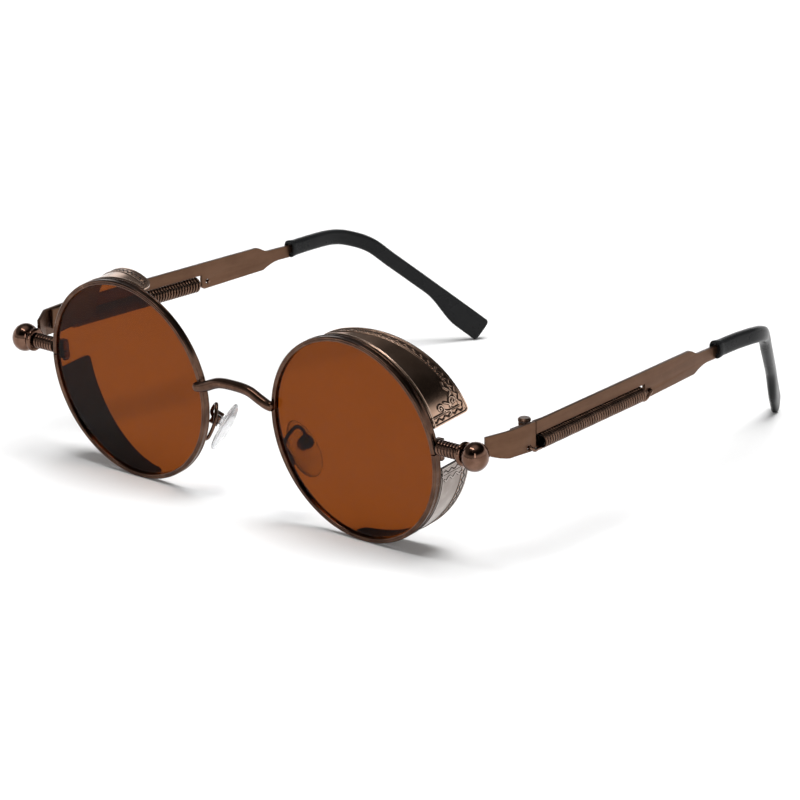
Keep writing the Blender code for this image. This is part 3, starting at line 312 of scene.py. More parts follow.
siliconeLook = {
    "clear": (0.95, 0.95, 0.96), "cloudy": (0.80, 0.81, 0.82), "shadow": (0.88, 0.88, 0.89), "index": 1.45,
    "through": 0.90, "roughness": 0.06, "mottle": 260.0, "ripple": 520.0, "bump": 0.16 * mm,
}


def clearSilicone():  # clear soft pad, faintly cloudy
    look = siliconeLook
    skin = Finish("clearSilicone")
    cloud = skin.grain(look["mottle"])
    skin.set(Base_Color=skin.tint(skin.between(cloud, 0.35, 0.7), look["cloudy"], look["clear"]),
             Roughness=look["roughness"] + 0.16 * cloud,
             Transmission_Weight=look["through"], IOR=look["index"],
             Normal=skin.relief(skin.grain(look["ripple"], 3.0), 0.30, look["bump"]))
    skin.letLampsThrough(look["shadow"])
    return skin.material


bronze = darkBronze("darkBronze")
bronzeWorn = darkBronze("darkBronzeWorn", worn=1.0)
rimBronze = darkBronze("rimBronze", rimLook)
ribBronze = darkBronze("ribBronze", shadeInGrooves=True)
shieldBronze = darkBronze("shieldBronze", shieldLook, relief=True)
shieldPale = darkBronze("shieldPale", paintedReflectionLook, relief=True)
satin = satinBronze("satinBronze")
satinWorn = satinBronze("satinBronzeWorn", 1.0)
wireSkin = springSteel()
screwSkin = screwSteel()
lensSkin = brownLens()
blackSkin = tipBlack()
clearSkin = clearSilicone()
print("finishes made")


# Helpers for points and meshes

def mirrored(point, side):
    return Vector((side * point[0], point[1], point[2]))


def blend(a, b, share):
    return a + (b - a) * share


def smooth(low, high, value):
    share = min(max((value - low) / (high - low), 0.0), 1.0)
    return share * share * (3 - 2 * share)


def even(count):  # shares from 0 to 1, in equal steps
    return [k / count for k in range(count + 1)]


def smoothRoute(points, steps):  # points along one smooth curve through the given ones
    knots = [Vector(p) for p in points]
    knots = [2 * knots[0] - knots[1]] + knots + [2 * knots[-1] - knots[-2]]
    route = []
    for a, b, c, d in zip(knots, knots[1:], knots[2:], knots[3:]):
        for i in range(steps):
            t = i / steps
            route.append(0.5 * (2 * b + (c - a) * t + (2 * a - 5 * b + 4 * c - d) * t * t
                                + (3 * b - a - 3 * c + d) * t ** 3))
    route.append(knots[-2])
    return route


def placed(name, data):
    obj = bpy.data.objects.new(name, data)
    bpy.context.scene.collection.objects.link(obj)
    return obj


def shown(name, mesh, materials, smoothAngle=38):
    mesh.materials.clear()
    for material in materials:
        mesh.materials.append(material)
    mesh.shade_smooth()
    mesh.set_sharp_from_angle(angle=math.radians(smoothAngle))
    return placed(name, mesh)


def meshOf(bm):
    bmesh.ops.remove_doubles(bm, verts=bm.verts, dist=0.0005 * mm)
    bmesh.ops.recalc_face_normals(bm, faces=bm.faces)
    mesh = bpy.data.meshes.new("mesh")
    bm.to_mesh(mesh)
    bm.free()
    return mesh


def merged(*meshes):  # several meshes as one, without doubles and with normals outward
    bm = bmesh.new()
    for mesh in meshes:
        bm.from_mesh(mesh)
    return meshOf(bm)


def ringsMesh(rings):  # a closed skin over rings of points
    bm = bmesh.new()
    rows = [[bm.verts.new(p) for p in ring] for ring in rings]
    count = len(rows[0])
    for a, b in zip(rows, rows[1:]):
        for i in range(count):
            j = (i + 1) % count
            bm.faces.new((a[i], a[j], b[j], b[i]))
    for row in (rows[0], rows[-1]):
        centre = bm.verts.new(sum((v.co for v in row), Vector()) / count)
        for i in range(count):
            bm.faces.new((row[i], row[(i + 1) % count], centre))
    return meshOf(bm)


def tubeRings(route, radii, sidesRound):  # circles along a route, without twist
    rings = []
    tangent = (route[1] - route[0]).normalized()
    across = tangent.orthogonal().normalized()
    for i, point in enumerate(route):
        ahead = route[min(i + 1, len(route) - 1)] - route[max(i - 1, 0)]
        turned = tangent.rotation_difference(ahead.normalized())
        across = (turned @ across).normalized()
        tangent = ahead.normalized()
        other = tangent.cross(across)
        rings.append([point + (across * math.cos(a) + other * math.sin(a)) * radii[i]
                      for a in (2 * math.pi * k / sidesRound for k in range(sidesRound))])
    return rings


def turnedMesh(profile, segments):  # lathe-turned about Z, from (radius, height) pairs
    bm = bmesh.new()
    angles = [2 * math.pi * k / segments for k in range(segments)]
    rows = []
    for r, h in profile:
        if r < 1e-9:  # on the axis, where one point serves the whole row
            rows.append([bm.verts.new((0, 0, h))] * segments)
        else:
            rows.append([bm.verts.new((r * math.cos(a), r * math.sin(a), h)) for a in angles])
    for a, b in zip(rows, rows[1:]):
        for i in range(segments):
            j = (i + 1) % segments
            corners = []
            for v in (a[i], a[j], b[j], b[i]):
                if v not in corners:
                    corners.append(v)
            if len(corners) > 2:
                bm.faces.new(corners)
    return meshOf(bm)


def rounded(profile, radius, steps=4):  # a lathe profile with its corners rounded off
    mostOfEdge = 0.45  # the share of an edge that one corner may take
    made = [profile[0]]
    for before, corner, after in zip(profile, profile[1:], profile[2:]):
        a, b, c = (Vector(p) for p in (before, corner, after))
        reach = min(radius, (a - b).length * mostOfEdge, (c - b).length * mostOfEdge)
        first = b + (a - b).normalized() * reach
        last = b + (c - b).normalized() * reach
        for t in even(steps):
            made.append(tuple(first * (1 - t) ** 2 + b * 2 * t * (1 - t) + last * t * t))
    made.append(profile[-1])
    return made


def boxMesh(low, high):
    bm = bmesh.new()
    bmesh.ops.create_cube(bm, size=1.0)
    size = [abs(b - a) for a, b in zip(low, high)]
    centre = [(a + b) / 2 for a, b in zip(low, high)]
    bmesh.ops.transform(bm, matrix=Matrix.Translation(centre) @ Matrix.Diagonal((*size, 1.0)), verts=bm.verts)
    return meshOf(bm)


def rodMesh(radius, low, high, segments):
    return turnedMesh([(0, low), (radius, low), (radius, high), (0, high)], segments)


def plainMesh(obj):  # what an object's modifiers make of it
    bpy.context.view_layer.update()
    return bpy.data.meshes.new_from_object(obj.evaluated_get(bpy.context.evaluated_depsgraph_get()))


def carved(mesh, others, bevel=None, limit=30, steps=3):  # joins and cuts, then breaks the edges
    obj = placed("carving", mesh)
    tools = []
    for operation, tool in others:
        tools.append(placed("tool", tool))
        cut = obj.modifiers.new("cut", "BOOLEAN")
        cut.operation = operation
        cut.solver = "EXACT"
        cut.object = tools[-1]
    if bevel:
        edge = obj.modifiers.new("edge", "BEVEL")
        edge.width = bevel
        edge.segments = steps
        edge.limit_method = "ANGLE"
        edge.angle_limit = math.radians(limit)
        edge.material = 1  # the worn finish
        edge.harden_normals = False
    made = plainMesh(obj)
    for one in [obj] + tools:
        bpy.data.objects.remove(one, do_unlink=True)
    return made


def twoFinishes(mesh):  # room for a main finish and one for the worn edges
    for _ in range(2):
        mesh.materials.append(None)
    return mesh


def cadCopy(node):  # a node's own shape, merged and with its flat faces whole
    bm = bmesh.new()
    bm.from_mesh(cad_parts[node].data)
    bmesh.ops.remove_doubles(bm, verts=bm.verts, dist=0.001 * mm)
    bmesh.ops.dissolve_limit(bm, angle_limit=math.radians(1.0), verts=bm.verts, edges=bm.edges)
    mesh = bpy.data.meshes.new("copy")
    bm.to_mesh(mesh)
    bm.free()
    return twoFinishes(mesh)


def fit(mesh, matrix):  # move a mesh to its place, right side out
    mesh.transform(matrix)
    if matrix.determinant() < 0:
        mesh.flip_normals()
    return mesh


def matrixOf(origin, x, y, z):
    turn = Matrix((x, y, z)).transposed().to_4x4()
    turn.translation = origin
    return turn


def keep(obj, body, slotName, *replaced):
    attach(obj, body)
    if replaced:
        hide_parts(*replaced)
    return obj


# Geometry Nodes trees

def growTree(name, lengths, counts=()):  # a tree with a named input for each size, and its material
    tree = bpy.data.node_groups.new(name, "GeometryNodeTree")
    tree.is_modifier = True
    sockets = [("Geometry", "Geometry")] + [(label, "Float") for label in lengths]
    sockets += [(label, "Int") for label in counts] + [("Material", "Material")]
    for label, kind in sockets:
        tree.interface.new_socket(label, in_out="INPUT", socket_type="NodeSocket" + kind)
    tree.interface.new_socket("Geometry", in_out="OUTPUT", socket_type="NodeSocketGeometry")
    bench = Bench(tree)
    source = bench.node("NodeGroupInput")
    return bench, {label: source.also(label) for label, _ in sockets}


def finishTree(bench, size, shape):  # every tree ends the same way
    whole = bench.node("GeometryNodeRealizeInstances", inputs={"Geometry": shape})
    painted = bench.node("GeometryNodeSetMaterial", inputs={"Geometry": whole, "Material": size["Material"]})
    bench.node("NodeGroupOutput", inputs={0: painted})
    return bench.tree


def grown(tree, values, base=None):  # runs a tree once and gives back its plain mesh
    obj = placed("growing", base or bpy.data.meshes.new("growing"))
    grow = obj.modifiers.new("grow", "NODES")
    grow.node_group = tree
    for item in tree.interface.items_tree:
        if item.in_out == "INPUT" and item.name in values:
            grow[item.identifier] = values[item.name]
    mesh = plainMesh(obj)
    obj.modifiers.remove(grow)
    bpy.data.objects.remove(obj, do_unlink=True)
    return mesh


def raiseBy(mesh, height):  # writes how far each point stands out, for the painted shade
    layer = mesh.attributes.new("relief", "FLOAT", "POINT")
    layer.data.foreach_set("value", [height(v.co) for v in mesh.vertices])
    return mesh


def linesMesh(routes):  # open lines, for a tree to follow
    points, edges = [], []
    for route in routes:
        edges += [(len(points) + i, len(points) + i + 1) for i in range(len(route) - 1)]
        points += [tuple(p) for p in route]
    mesh = bpy.data.meshes.new("lines")
    mesh.from_pydata(points, edges, [])
    return mesh


def rimTree():  # a grooved bar bent round the lens, open at the slit
    bench, size = growTree("rimTree", ("Radius", "Wall", "Depth", "Bead", "Groove", "Start", "Sweep"),
                           ("Steps",))
    path = bench.node("GeometryNodeCurveArc", {"mode": "RADIUS"}, {
        "Resolution": size["Steps"], "Radius": size["Radius"] - size["Wall"] / 2.0,
        "Start Angle": size["Start"], "Sweep Angle": size["Sweep"]})
    bar = bench.node("GeometryNodeCurvePrimitiveQuadrilateral", {"mode": "RECTANGLE"}, {
        "Width": size["Wall"] - 2.0 * size["Groove"], "Height": size["Depth"] - 2.0 * size["Groove"]})
    soft = bench.node("GeometryNodeFilletCurve", {"mode": "POLY"}, {
        "Curve": bar, "Radius": size["Groove"], "Count": 3})
    bead = bench.circle(16, size["Bead"])
    across, deep = size["Wall"] / 2.0 - size["Bead"], size["Depth"] / 2.0 - size["Bead"]
    outline = [soft]
    for x in (-1.0, 1.0):  # a round bead along each of the bar's four edges
        for y in (-1.0, 1.0):
            outline.append(bench.moved(bead, bench.point(x * across, y * deep)))
    return finishTree(bench, size, bench.swept(path, bench.joined(*outline)))


def springTree():  # a close coil, joined with the wires that the tree is given
    bench, size = growTree("springTree", ("Coil Radius", "Wire Radius", "Length", "Turns", "Start Turn"),
                           ("Steps", "Sides"))
    coil = bench.node("GeometryNodeCurveSpiral", inputs={
        "Resolution": size["Steps"], "Rotations": size["Turns"], "Start Radius": size["Coil Radius"],
        "End Radius": size["Coil Radius"], "Height": size["Length"]})
    turned = bench.node("GeometryNodeTransform", inputs={
        "Geometry": coil, "Rotation": bench.point(z=size["Start Turn"])})
    hooks = bench.node("GeometryNodeMeshToCurve", inputs={"Mesh": size["Geometry"]})
    ring = bench.circle(size["Sides"], size["Wire Radius"])
    return finishTree(bench, size, bench.swept(bench.joined(turned, hooks), ring))


def ribTree():  # rounded rings set along a core
    bench, size = growTree("ribTree", ("Core Radius", "Ring Radius", "Ring Height", "Length"),
                           ("Count", "Steps"))
    pitch = size["Length"] / size["Count"]
    spots = bench.node("GeometryNodeMeshLine", {"mode": "OFFSET"}, {
        "Count": size["Count"], "Start Location": bench.point(z=pitch / 2.0), "Offset": bench.point(z=pitch)})
    loop = bench.circle(size["Steps"], size["Ring Radius"] - size["Ring Height"])
    ring = bench.swept(loop, bench.circle(12, size["Ring Height"]), False)
    rings = bench.node("GeometryNodeInstanceOnPoints", inputs={"Points": spots, "Instance": ring})
    core = bench.cylinder(size["Steps"], size["Core Radius"], size["Length"])
    raised = bench.moved(core, bench.point(z=size["Length"] / 2.0))
    return finishTree(bench, size, bench.joined(rings, raised))


def beadTree():  # short raised dashes set along the lines that the tree is given
    bench, size = growTree("beadTree", ("Length", "Width", "Height", "Pitch"), ("Seed",))
    line = bench.node("GeometryNodeMeshToCurve", inputs={"Mesh": size["Geometry"]})
    points = bench.node("GeometryNodeCurveToPoints", {"mode": "LENGTH"}, {
        "Curve": line, "Length": size["Pitch"]}, "Points")
    ball = bench.node("GeometryNodeMeshIcoSphere", inputs={"Radius": 0.5, "Subdivisions": 2})
    uneven = bench.node("FunctionNodeRandomValue", {"data_type": "FLOAT"}, {
        2: 0.75, 3: 1.15, "Seed": size["Seed"]}, 1)
    shape = bench.point(size["Width"], size["Height"], size["Length"] * uneven)
    dashes = bench.node("GeometryNodeInstanceOnPoints", inputs={
        "Points": points, "Instance": ball, "Rotation": points.also("Rotation"), "Scale": shape})
    return finishTree(bench, size, dashes)


def screwTree():  # a screw: shank, and a rounded head with a driver slot
    bench, size = growTree("screwTree", ("Head Radius", "Head Height", "Shank Radius", "Shank Length",
                                         "Slot Width", "Slot Depth"))
    head, high, length = size["Head Radius"], size["Head Height"], size["Shank Length"]
    lap = 0.04 * mm  # how far the shank runs into the head
    cone = bench.node("GeometryNodeMeshCone", inputs={
        "Vertices": 40, "Radius Top": head * 0.8, "Radius Bottom": head, "Depth": high * 0.4})
    top = bench.moved(cone, bench.point(z=high * 0.6))
    base = bench.moved(bench.cylinder(40, head, high * 0.6), bench.point(z=high * 0.3))
    shank = bench.cylinder(24, size["Shank Radius"], length + lap)
    stem = bench.moved(shank, bench.point(z=length * -0.5 + lap / 2))
    solid = bench.node("GeometryNodeMeshBoolean", {"operation": "UNION"}, {"Mesh 2": [top, base, stem]})
    block = bench.node("GeometryNodeMeshCube", inputs={
        "Size": bench.point(size["Slot Width"], head * 3.0, size["Slot Depth"] * 2.0)})
    slot = bench.moved(block, bench.point(z=high))
    cut = bench.node("GeometryNodeMeshBoolean", {"operation": "DIFFERENCE"}, {
        "Mesh 1": solid, "Mesh 2": slot})
    return finishTree(bench, size, cut)


trees = {"rim": rimTree(), "spring": springTree(), "rib": ribTree(), "bead": beadTree(), "screw": screwTree()}


def screwMesh(headRadius, headHeight, shankRadius, shankLength, slotWidth, slotDepth):
    return grown(trees["screw"], {
        "Head Radius": headRadius, "Head Height": headHeight, "Shank Radius": shankRadius,
        "Shank Length": shankLength, "Slot Width": slotWidth, "Slot Depth": slotDepth, "Material": screwSkin})


print("trees made")


# Rims and lenses

rim = {
    "lensDistance": 72.5 * mm, "radius": 25.3 * mm, "wall": 1.2 * mm, "depth": 2.0 * mm, "bead": 0.36 * mm,
    "groove": 0.14 * mm, "tilt": math.radians(7.33), "slitHeight": 1.9 * mm, "slit": 0.3 * mm,
    "touch": 0.3 * mm, "steps": 241, "lensRadius": 24.3 * mm, "lensRecess": 0.62 * mm,
    "lensThickness": 1.2 * mm, "lensBevel": 0.25 * mm, "lensRounding": 0.12 * mm, "lensSteps": 192,
}
arcOfDegree = math.radians(1) * rim["radius"]


def lensMatrix(side):  # lens frame: X outward, Y back through the lens, Z up
    place = Vector((side * rim["lensDistance"] / 2, 0, 0)) + middle
    return Matrix.Translation(place) @ Matrix.Rotation(rim["tilt"], 4, "X") @ Matrix.Diagonal((side, 1, 1, 1))


standing = Matrix(((1, 0, 0, 0), (0, 0, 1, 0), (0, 1, 0, 0), (0, 0, 0, 1)))  # a shape about Z, laid about Y


def makeRim(sideName, side):
    slitAngle = math.asin(rim["slitHeight"] / rim["radius"])
    half = rim["slit"] / 2 / rim["radius"]
    band = grown(trees["rim"], {
        "Radius": rim["radius"], "Wall": rim["wall"], "Depth": rim["depth"], "Bead": rim["bead"],
        "Groove": rim["groove"], "Start": slitAngle + half, "Sweep": 2 * math.pi - 2 * half,
        "Steps": rim["steps"], "Material": rimBronze})
    obj = shown("rim_band_" + sideName, fit(merged(band), lensMatrix(side) @ standing), [rimBronze], 50)
    return keep(obj, "front", "dark_bronze", "rim_" + sideName)


def makeLens(sideName, side):
    front = -rim["depth"] / 2 + rim["lensRecess"]
    back = front + rim["lensThickness"]
    r, inner = rim["lensRadius"], rim["lensRadius"] - rim["lensBevel"]
    profile = rounded([(0, front), (inner, front), (r, (front + back) / 2), (inner, back), (0, back)],
                      rim["lensRounding"], 3)
    glass = fit(turnedMesh(profile, rim["lensSteps"]), lensMatrix(side) @ standing)
    obj = shown("lens_glass_" + sideName, glass, [lensSkin], 4)
    return keep(obj, "front", "brown_lens", "lens_" + sideName)


for sideName, side in sides:
    makeRim(sideName, side)
    makeLens(sideName, side)
print("rims and lenses made")


# Side shields

shields = {  # start and end are in degrees round the lens
    "upper": {"start": 17.0, "end": 107.0, "deep": 12.1 * mm, "shallow": 3.3 * mm, "power": 1.4},
    "lower": {"start": -5.5, "end": -99.0, "deep": 9.6 * mm, "shallow": 3.0 * mm, "power": 1.7},
}
shieldWork = {
    "thickness": 0.8 * mm, "corner": 1.2 * mm, "taperCorner": 2.2 * mm, "skin": 0.01 * mm, "depth": 0.18 * mm,
    "columns": 260, "crowding": 0.10, "rows": 72, "innerEvery": 6, "innerPaintedShade": 0.6,
    "nearSteps": 60, "edgeSteps": 1400, "farSteps": 40, "scrollSteps": 3,
    "slope": 0.1 * mm, "lip": 0.42 * mm, "line": 2.15 * mm, "lineWidth": 0.17 * mm, "fade": 2.5 * mm,
    "waveMiddle": 1.25 * mm, "waveSwing": 0.30 * mm, "wavePitch": 2.1 * mm, "waveWidth": 0.15 * mm,
    "waveHeight": 0.8, "frontLine": 0.75 * mm, "frontLineTop": 0.12 * mm, "frontLineFoot": 0.24 * mm,
    "curlTop": 0.13 * mm, "curlFoot": 0.34 * mm, "curlTurns": 1.35, "curlShrink": 0.86, "curlSteps": 80,
}
beading = {
    "length": 0.55 * mm, "width": 0.26 * mm, "height": 0.2 * mm, "pitch": 0.86 * mm, "seed": 7,
    "every": 6, "sink": 0.05 * mm, "farStop": 5 * mm, "frontStop": 1.2 * mm,
}


def shieldDepth(shield, angle):
    share = (angle - shield["start"]) / (shield["end"] - shield["start"])
    depth = shield["shallow"] + (shield["deep"] - shield["shallow"]) * (1 - share ** shield["power"])
    for edge, corner in ((shield["start"], shieldWork["corner"]), (shield["end"], shieldWork["taperCorner"])):
        distance = abs(angle - edge) * arcOfDegree
        if distance < corner:
            depth -= corner - math.sqrt(corner ** 2 - (corner - distance) ** 2)
    return depth


def shieldEdge(shield, direction, total):  # the free edge, as (along, depth) points
    nearDepth = shieldDepth(shield, shield["start"])
    edge = [(0.0, t * nearDepth) for t in even(shieldWork["nearSteps"])[:-1]]
    for k in range(shieldWork["edgeSteps"] + 1):
        turn = total * k / shieldWork["edgeSteps"]
        edge.append((turn * arcOfDegree, shieldDepth(shield, shield["start"] + direction * turn)))
    along, depth = edge[-1]
    return edge + [(along, depth * (1 - t)) for t in even(shieldWork["farSteps"])[1:]]


def treeOf(points):
    tree = KDTree(len(points))
    for i, p in enumerate(points):
        tree.insert((p[0], p[1], 0.0), i)
    tree.balance()
    return tree


def curl(centre, radius, start, flip=1):  # a scroll that winds inward
    made = []
    for t in even(shieldWork["curlSteps"]):
        r = radius * (1 - shieldWork["curlShrink"] * t)
        a = start + flip * 2 * math.pi * shieldWork["curlTurns"] * t
        made.append((centre[0] + r * math.cos(a), centre[1] + r * math.sin(a)))
    return made


def scrollLines(shield, upper):  # generic scrollwork at the temple end, as (along, depth) lines
    deep = shield["deep"]
    if not upper:  # one wave line across the shield
        return [[(3.3 * mm + 0.42 * mm * math.sin(15.7 * t), blend(1.3 * mm, deep - 2.6 * mm, t))
                 for t in even(90)]]
    return [
        curl((3.9 * mm, deep * 0.70), 1.25 * mm, math.radians(200)),
        curl((3.4 * mm, deep * 0.34), 1.05 * mm, math.radians(150), flip=-1),
        [(blend(2.75, 4.3, t) * mm, deep * (0.59 - 0.12 * t + 0.05 * math.sin(3.1 * t))) for t in even(40)],
        [(blend(1.2, 2.6, t) * mm, deep * (0.50 + 0.07 * math.sin(4.5 * t))) for t in even(40)],
        [(blend(5.1, 8.6, t ** 0.9) * mm, deep * (0.66 + 0.10 * math.sin(5.2 * t) * (1 - t)))
         for t in even(60)],
    ]


def makeShield(name, shield, sideName, side):
    work = shieldWork
    upper = shield["start"] > 0
    direction = 1 if upper else -1
    total = abs(shield["end"] - shield["start"])
    edge = shieldEdge(shield, direction, total)
    runs = [0.0]
    for a, b in zip(edge, edge[1:]):
        runs.append(runs[-1] + math.hypot(b[0] - a[0], b[1] - a[1]))
    scroll = []
    for line in scrollLines(shield, upper):
        for a, b in zip(line, line[1:]):
            scroll += [(blend(a[0], b[0], t), blend(a[1], b[1], t)) for t in even(work["scrollSteps"])[:-1]]
    edgeTree, scrollTree = treeOf(edge), treeOf(scroll)

    def within(width, distance):  # 1 on a raised line, falling softly to 0 beside it
        return 1 - smooth(width - work["slope"], width + work["slope"], distance)

    def raised(u, v):  # 0 in the field, 1 on the raised work
        _, index, near = edgeTree.find((u, v, 0.0))
        _, _, curlNear = scrollTree.find((u, v, 0.0))
        fade = smooth(0.0, work["fade"], runs[-1] - runs[index])
        line = within(work["lineWidth"], abs(near - work["line"]))
        phase = 2 * math.pi * runs[index] / work["wavePitch"]
        wave = work["waveMiddle"] + work["waveSwing"] * math.sin(phase)
        band = work["waveHeight"] * within(work["waveWidth"], abs(near - wave))
        frontLine = 1 - smooth(work["frontLineTop"], work["frontLineFoot"], abs(v - work["frontLine"]))
        curls = 1 - smooth(work["curlTop"], work["curlFoot"], curlNear)
        return max(within(work["lip"], near), line * fade, band * fade, frontLine, curls)

    bm = bmesh.new()
    layer = bm.verts.layers.float.new("relief")

    def addPoint(row, radius, angle, y, high):
        vert = bm.verts.new((radius * math.cos(angle), y, radius * math.sin(angle)))
        vert[layer] = high
        row.append(vert)

    front, behind = rim["depth"] / 2 + rim["touch"], rim["depth"] / 2
    outer, inner = [], []
    for t in even(work["columns"]):
        turn = total * (t - work["crowding"] * math.sin(2 * math.pi * t) / math.pi)  # closer at both ends
        degrees = shield["start"] + direction * turn
        angle, depth = math.radians(degrees), behind + shieldDepth(shield, degrees)
        outer.append([])
        inner.append([])
        for j, share in enumerate(even(work["rows"])):
            y = blend(front, depth, share)
            high = raised(turn * arcOfDegree, y - behind)
            addPoint(outer[-1], rim["radius"] - work["skin"] - work["depth"] * (1 - high), angle, y, high)
            if j % work["innerEvery"] == 0:
                # the inner skin's relief of 0.6 paints it dark: painted shade inside the shield
                addPoint(inner[-1], rim["radius"] - work["thickness"], angle, y, work["innerPaintedShade"])
    for a, b in zip(outer, outer[1:]):
        for p, q, s, t in zip(a, a[1:], b[1:], b):
            bm.faces.new((p, q, s, t))
    for a, b in zip(inner, inner[1:]):
        for p, q, s, t in zip(a, a[1:], b[1:], b):
            bm.faces.new((t, s, q, p))
    for a, b, c, d in zip(outer, outer[1:], inner, inner[1:]):
        bm.faces.new((a[0], b[0], d[0], c[0]))
        bm.faces.new((a[-1], c[-1], d[-1], b[-1]))
    for row, other in ((outer[0], inner[0]), (outer[-1], inner[-1])):
        bm.faces.new(row + other[::-1])
    # the lower shields take the paler copy: painted reflection of the floor
    skin = shieldBronze if upper else shieldPale
    obj = shown(name + "_shell_" + sideName, fit(meshOf(bm), lensMatrix(side)), [skin], 60)
    keep(obj, "front", "dark_bronze", name + "_" + sideName)

    route = []
    for k in range(work["nearSteps"], len(edge) - work["farSteps"] - 1, beading["every"]):
        a, b = edge[k - 2], edge[k + 2]
        slope = Vector((b[0] - a[0], b[1] - a[1])).normalized()  # the dashes ride on the raised line
        u, v = edge[k][0] + slope.y * work["line"], edge[k][1] - slope.x * work["line"]
        if work["line"] < u < edge[-1][0] - beading["farStop"] and v > beading["frontStop"]:
            angle = math.radians(shield["start"]) + direction * u / rim["radius"]
            r = rim["radius"] - beading["sink"]
            route.append((r * math.cos(angle), behind + v, r * math.sin(angle)))
    beads = grown(trees["bead"], {
        "Length": beading["length"], "Width": beading["width"], "Height": beading["height"],
        "Pitch": beading["pitch"], "Seed": beading["seed"], "Material": bronzeWorn}, linesMesh([route]))
    obj = shown(name + "_beading_" + sideName, fit(beads, lensMatrix(side)), [bronzeWorn], 60)
    return keep(obj, "front", "dark_bronze")


for sideName, side in sides:
    makeShield("upper_shield", shields["upper"], sideName, side)
    makeShield("lower_shield", shields["lower"], sideName, side)
print("shields made")


# Rim locks

lock = {
    "edge": (0.14 * mm, 40, 2),  # width, least angle, steps
    "headRadius": 0.8 * mm, "headHeight": 0.5 * mm, "shank": 0.4 * mm, "slot": 0.22 * mm,
}


def makeLock(sideName, side):
    for part in ("upper", "lower"):
        node = "rim_lock_" + part + "_" + sideName
        mesh = carved(cadCopy(node), [], *lock["edge"])
        block = shown("lock_block_" + part + "_" + sideName, mesh, [bronze, bronzeWorn])
        keep(block, "front", "dark_bronze", node)
    low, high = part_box("rim_lock_screw_" + sideName)
    leanSin, leanCos = math.sin(rim["tilt"]), math.cos(rim["tilt"])
    up, back, out = Vector((0, -leanSin, leanCos)), Vector((0, leanCos, leanSin)), Vector((side, 0, 0))
    reach = (high.z - low.z - 2 * lock["headRadius"] * leanSin) / leanCos / 2
    mesh = screwMesh(lock["headRadius"], lock["headHeight"], lock["shank"], 2 * reach - lock["headHeight"],
                     lock["slot"], lock["slot"])
    axis = matrixOf((low + high) / 2 - up * (reach - lock["headHeight"]), out, back * side, -up)
    obj = shown("lock_screw_" + sideName, fit(mesh, axis), [screwSkin], 30)
    return keep(obj, "front", "spring_wire", "rim_lock_screw_" + sideName)


for sideName, side in sides:
    makeLock(sideName, side)
print("rim locks made")


# Studs, collars and knobs

stud = {
    "root": 61.8 * mm, "back": 0.3 * mm, "up": 3.4 * mm, "length": 6.4 * mm, "radius": 1.85 * mm,
    "core": 1.5 * mm, "ringHeight": 0.43 * mm, "ribs": 7, "ribSteps": 48, "paintedShadeFoot": 0.16 * mm,
    "paintedShadeTop": 0.01 * mm, "spigot": 1.0 * mm, "spigotLength": 3.4 * mm, "spigotLap": 0.2 * mm,
    "spigotSteps": 32, "boreGap": 0.05 * mm,
}
collar = {
    "start": 6.7 * mm, "end": 8.0 * mm, "radius": 2.85 * mm, "nearBevel": 0.55 * mm, "farBevel": 0.5 * mm,
    "shoulder": 0.42 * mm, "rounding": 0.3 * mm, "around": 72,
}
knob = {
    "middle": 10.6 * mm, "radius": 3.45 * mm, "half": 3.0 * mm, "cut": 2.3 * mm, "arcSteps": 40, "around": 96,
    "lip": 0.12 * mm, "rimWidth": 0.45 * mm, "dishWidth": 0.55 * mm, "dish": 0.18 * mm, "bore": 1.9 * mm,
}


def studMatrix(side):  # Z runs outward along the stud
    root = mirrored((stud["root"], stud["back"], stud["up"]), side) + middle
    return matrixOf(root, Vector((0, 0, -side)), Vector((0, 1, 0)), Vector((side, 0, 0)))


def makeStud(sideName, side):
    place = studMatrix(side)
    ribs = grown(trees["rib"], {
        "Core Radius": stud["core"], "Ring Radius": stud["radius"], "Ring Height": stud["ringHeight"],
        "Count": stud["ribs"], "Length": stud["length"], "Steps": stud["ribSteps"], "Material": ribBronze})
    # painted shade: the ribs go dark from their tops down to the core
    foot, top = stud["core"] + stud["paintedShadeFoot"], stud["radius"] - stud["paintedShadeTop"]
    raiseBy(ribs, lambda p: smooth(foot, top, math.hypot(p.x, p.y)))
    spigotEnd = stud["length"] + stud["spigotLength"]
    spigot = rodMesh(stud["spigot"], stud["length"] - stud["spigotLap"], spigotEnd, stud["spigotSteps"])
    obj = shown("stud_ribbed_" + sideName, fit(merged(ribs, spigot), place), [ribBronze], 40)
    keep(obj, "front", "dark_bronze", "stud_" + sideName)

    start, end, r = collar["start"], collar["end"], collar["radius"]
    bore = stud["spigot"] + stud["boreGap"]
    profile = rounded([(bore, start), (r - collar["nearBevel"], start), (r, start + collar["shoulder"]),
                       (r, end - collar["shoulder"]), (r - collar["farBevel"], end), (bore, end)],
                      collar["rounding"])
    mesh = fit(turnedMesh(profile + [profile[0]], collar["around"]), place)
    obj = shown("collar_disc_" + sideName, mesh, [bronze], 40)
    keep(obj, "front", "dark_bronze", "collar_" + sideName)

    first = math.acos(-knob["cut"] / knob["half"])
    profile = []
    for i in range(knob["arcSteps"] + 1):
        angle = first * i / knob["arcSteps"]
        profile.append((knob["radius"] * math.sin(angle), knob["middle"] + knob["half"] * math.cos(angle)))
    lip, face = profile[-1][0], knob["middle"] - knob["cut"]
    dish = face + knob["dish"]
    profile += [(lip - knob["lip"], face), (lip - knob["rimWidth"], face), (lip - knob["dishWidth"], dish),
                (bore, dish), (bore, face + knob["bore"]), (0, face + knob["bore"])]
    obj = shown("knob_ball_" + sideName, fit(turnedMesh(profile, knob["around"]), place), [bronze], 40)
    return keep(obj, "front", "dark_bronze", "knob_" + sideName)


for sideName, side in sides:
    makeStud(sideName, side)
print("studs, collars and knobs made")


# Hinge plates, hinges and temples

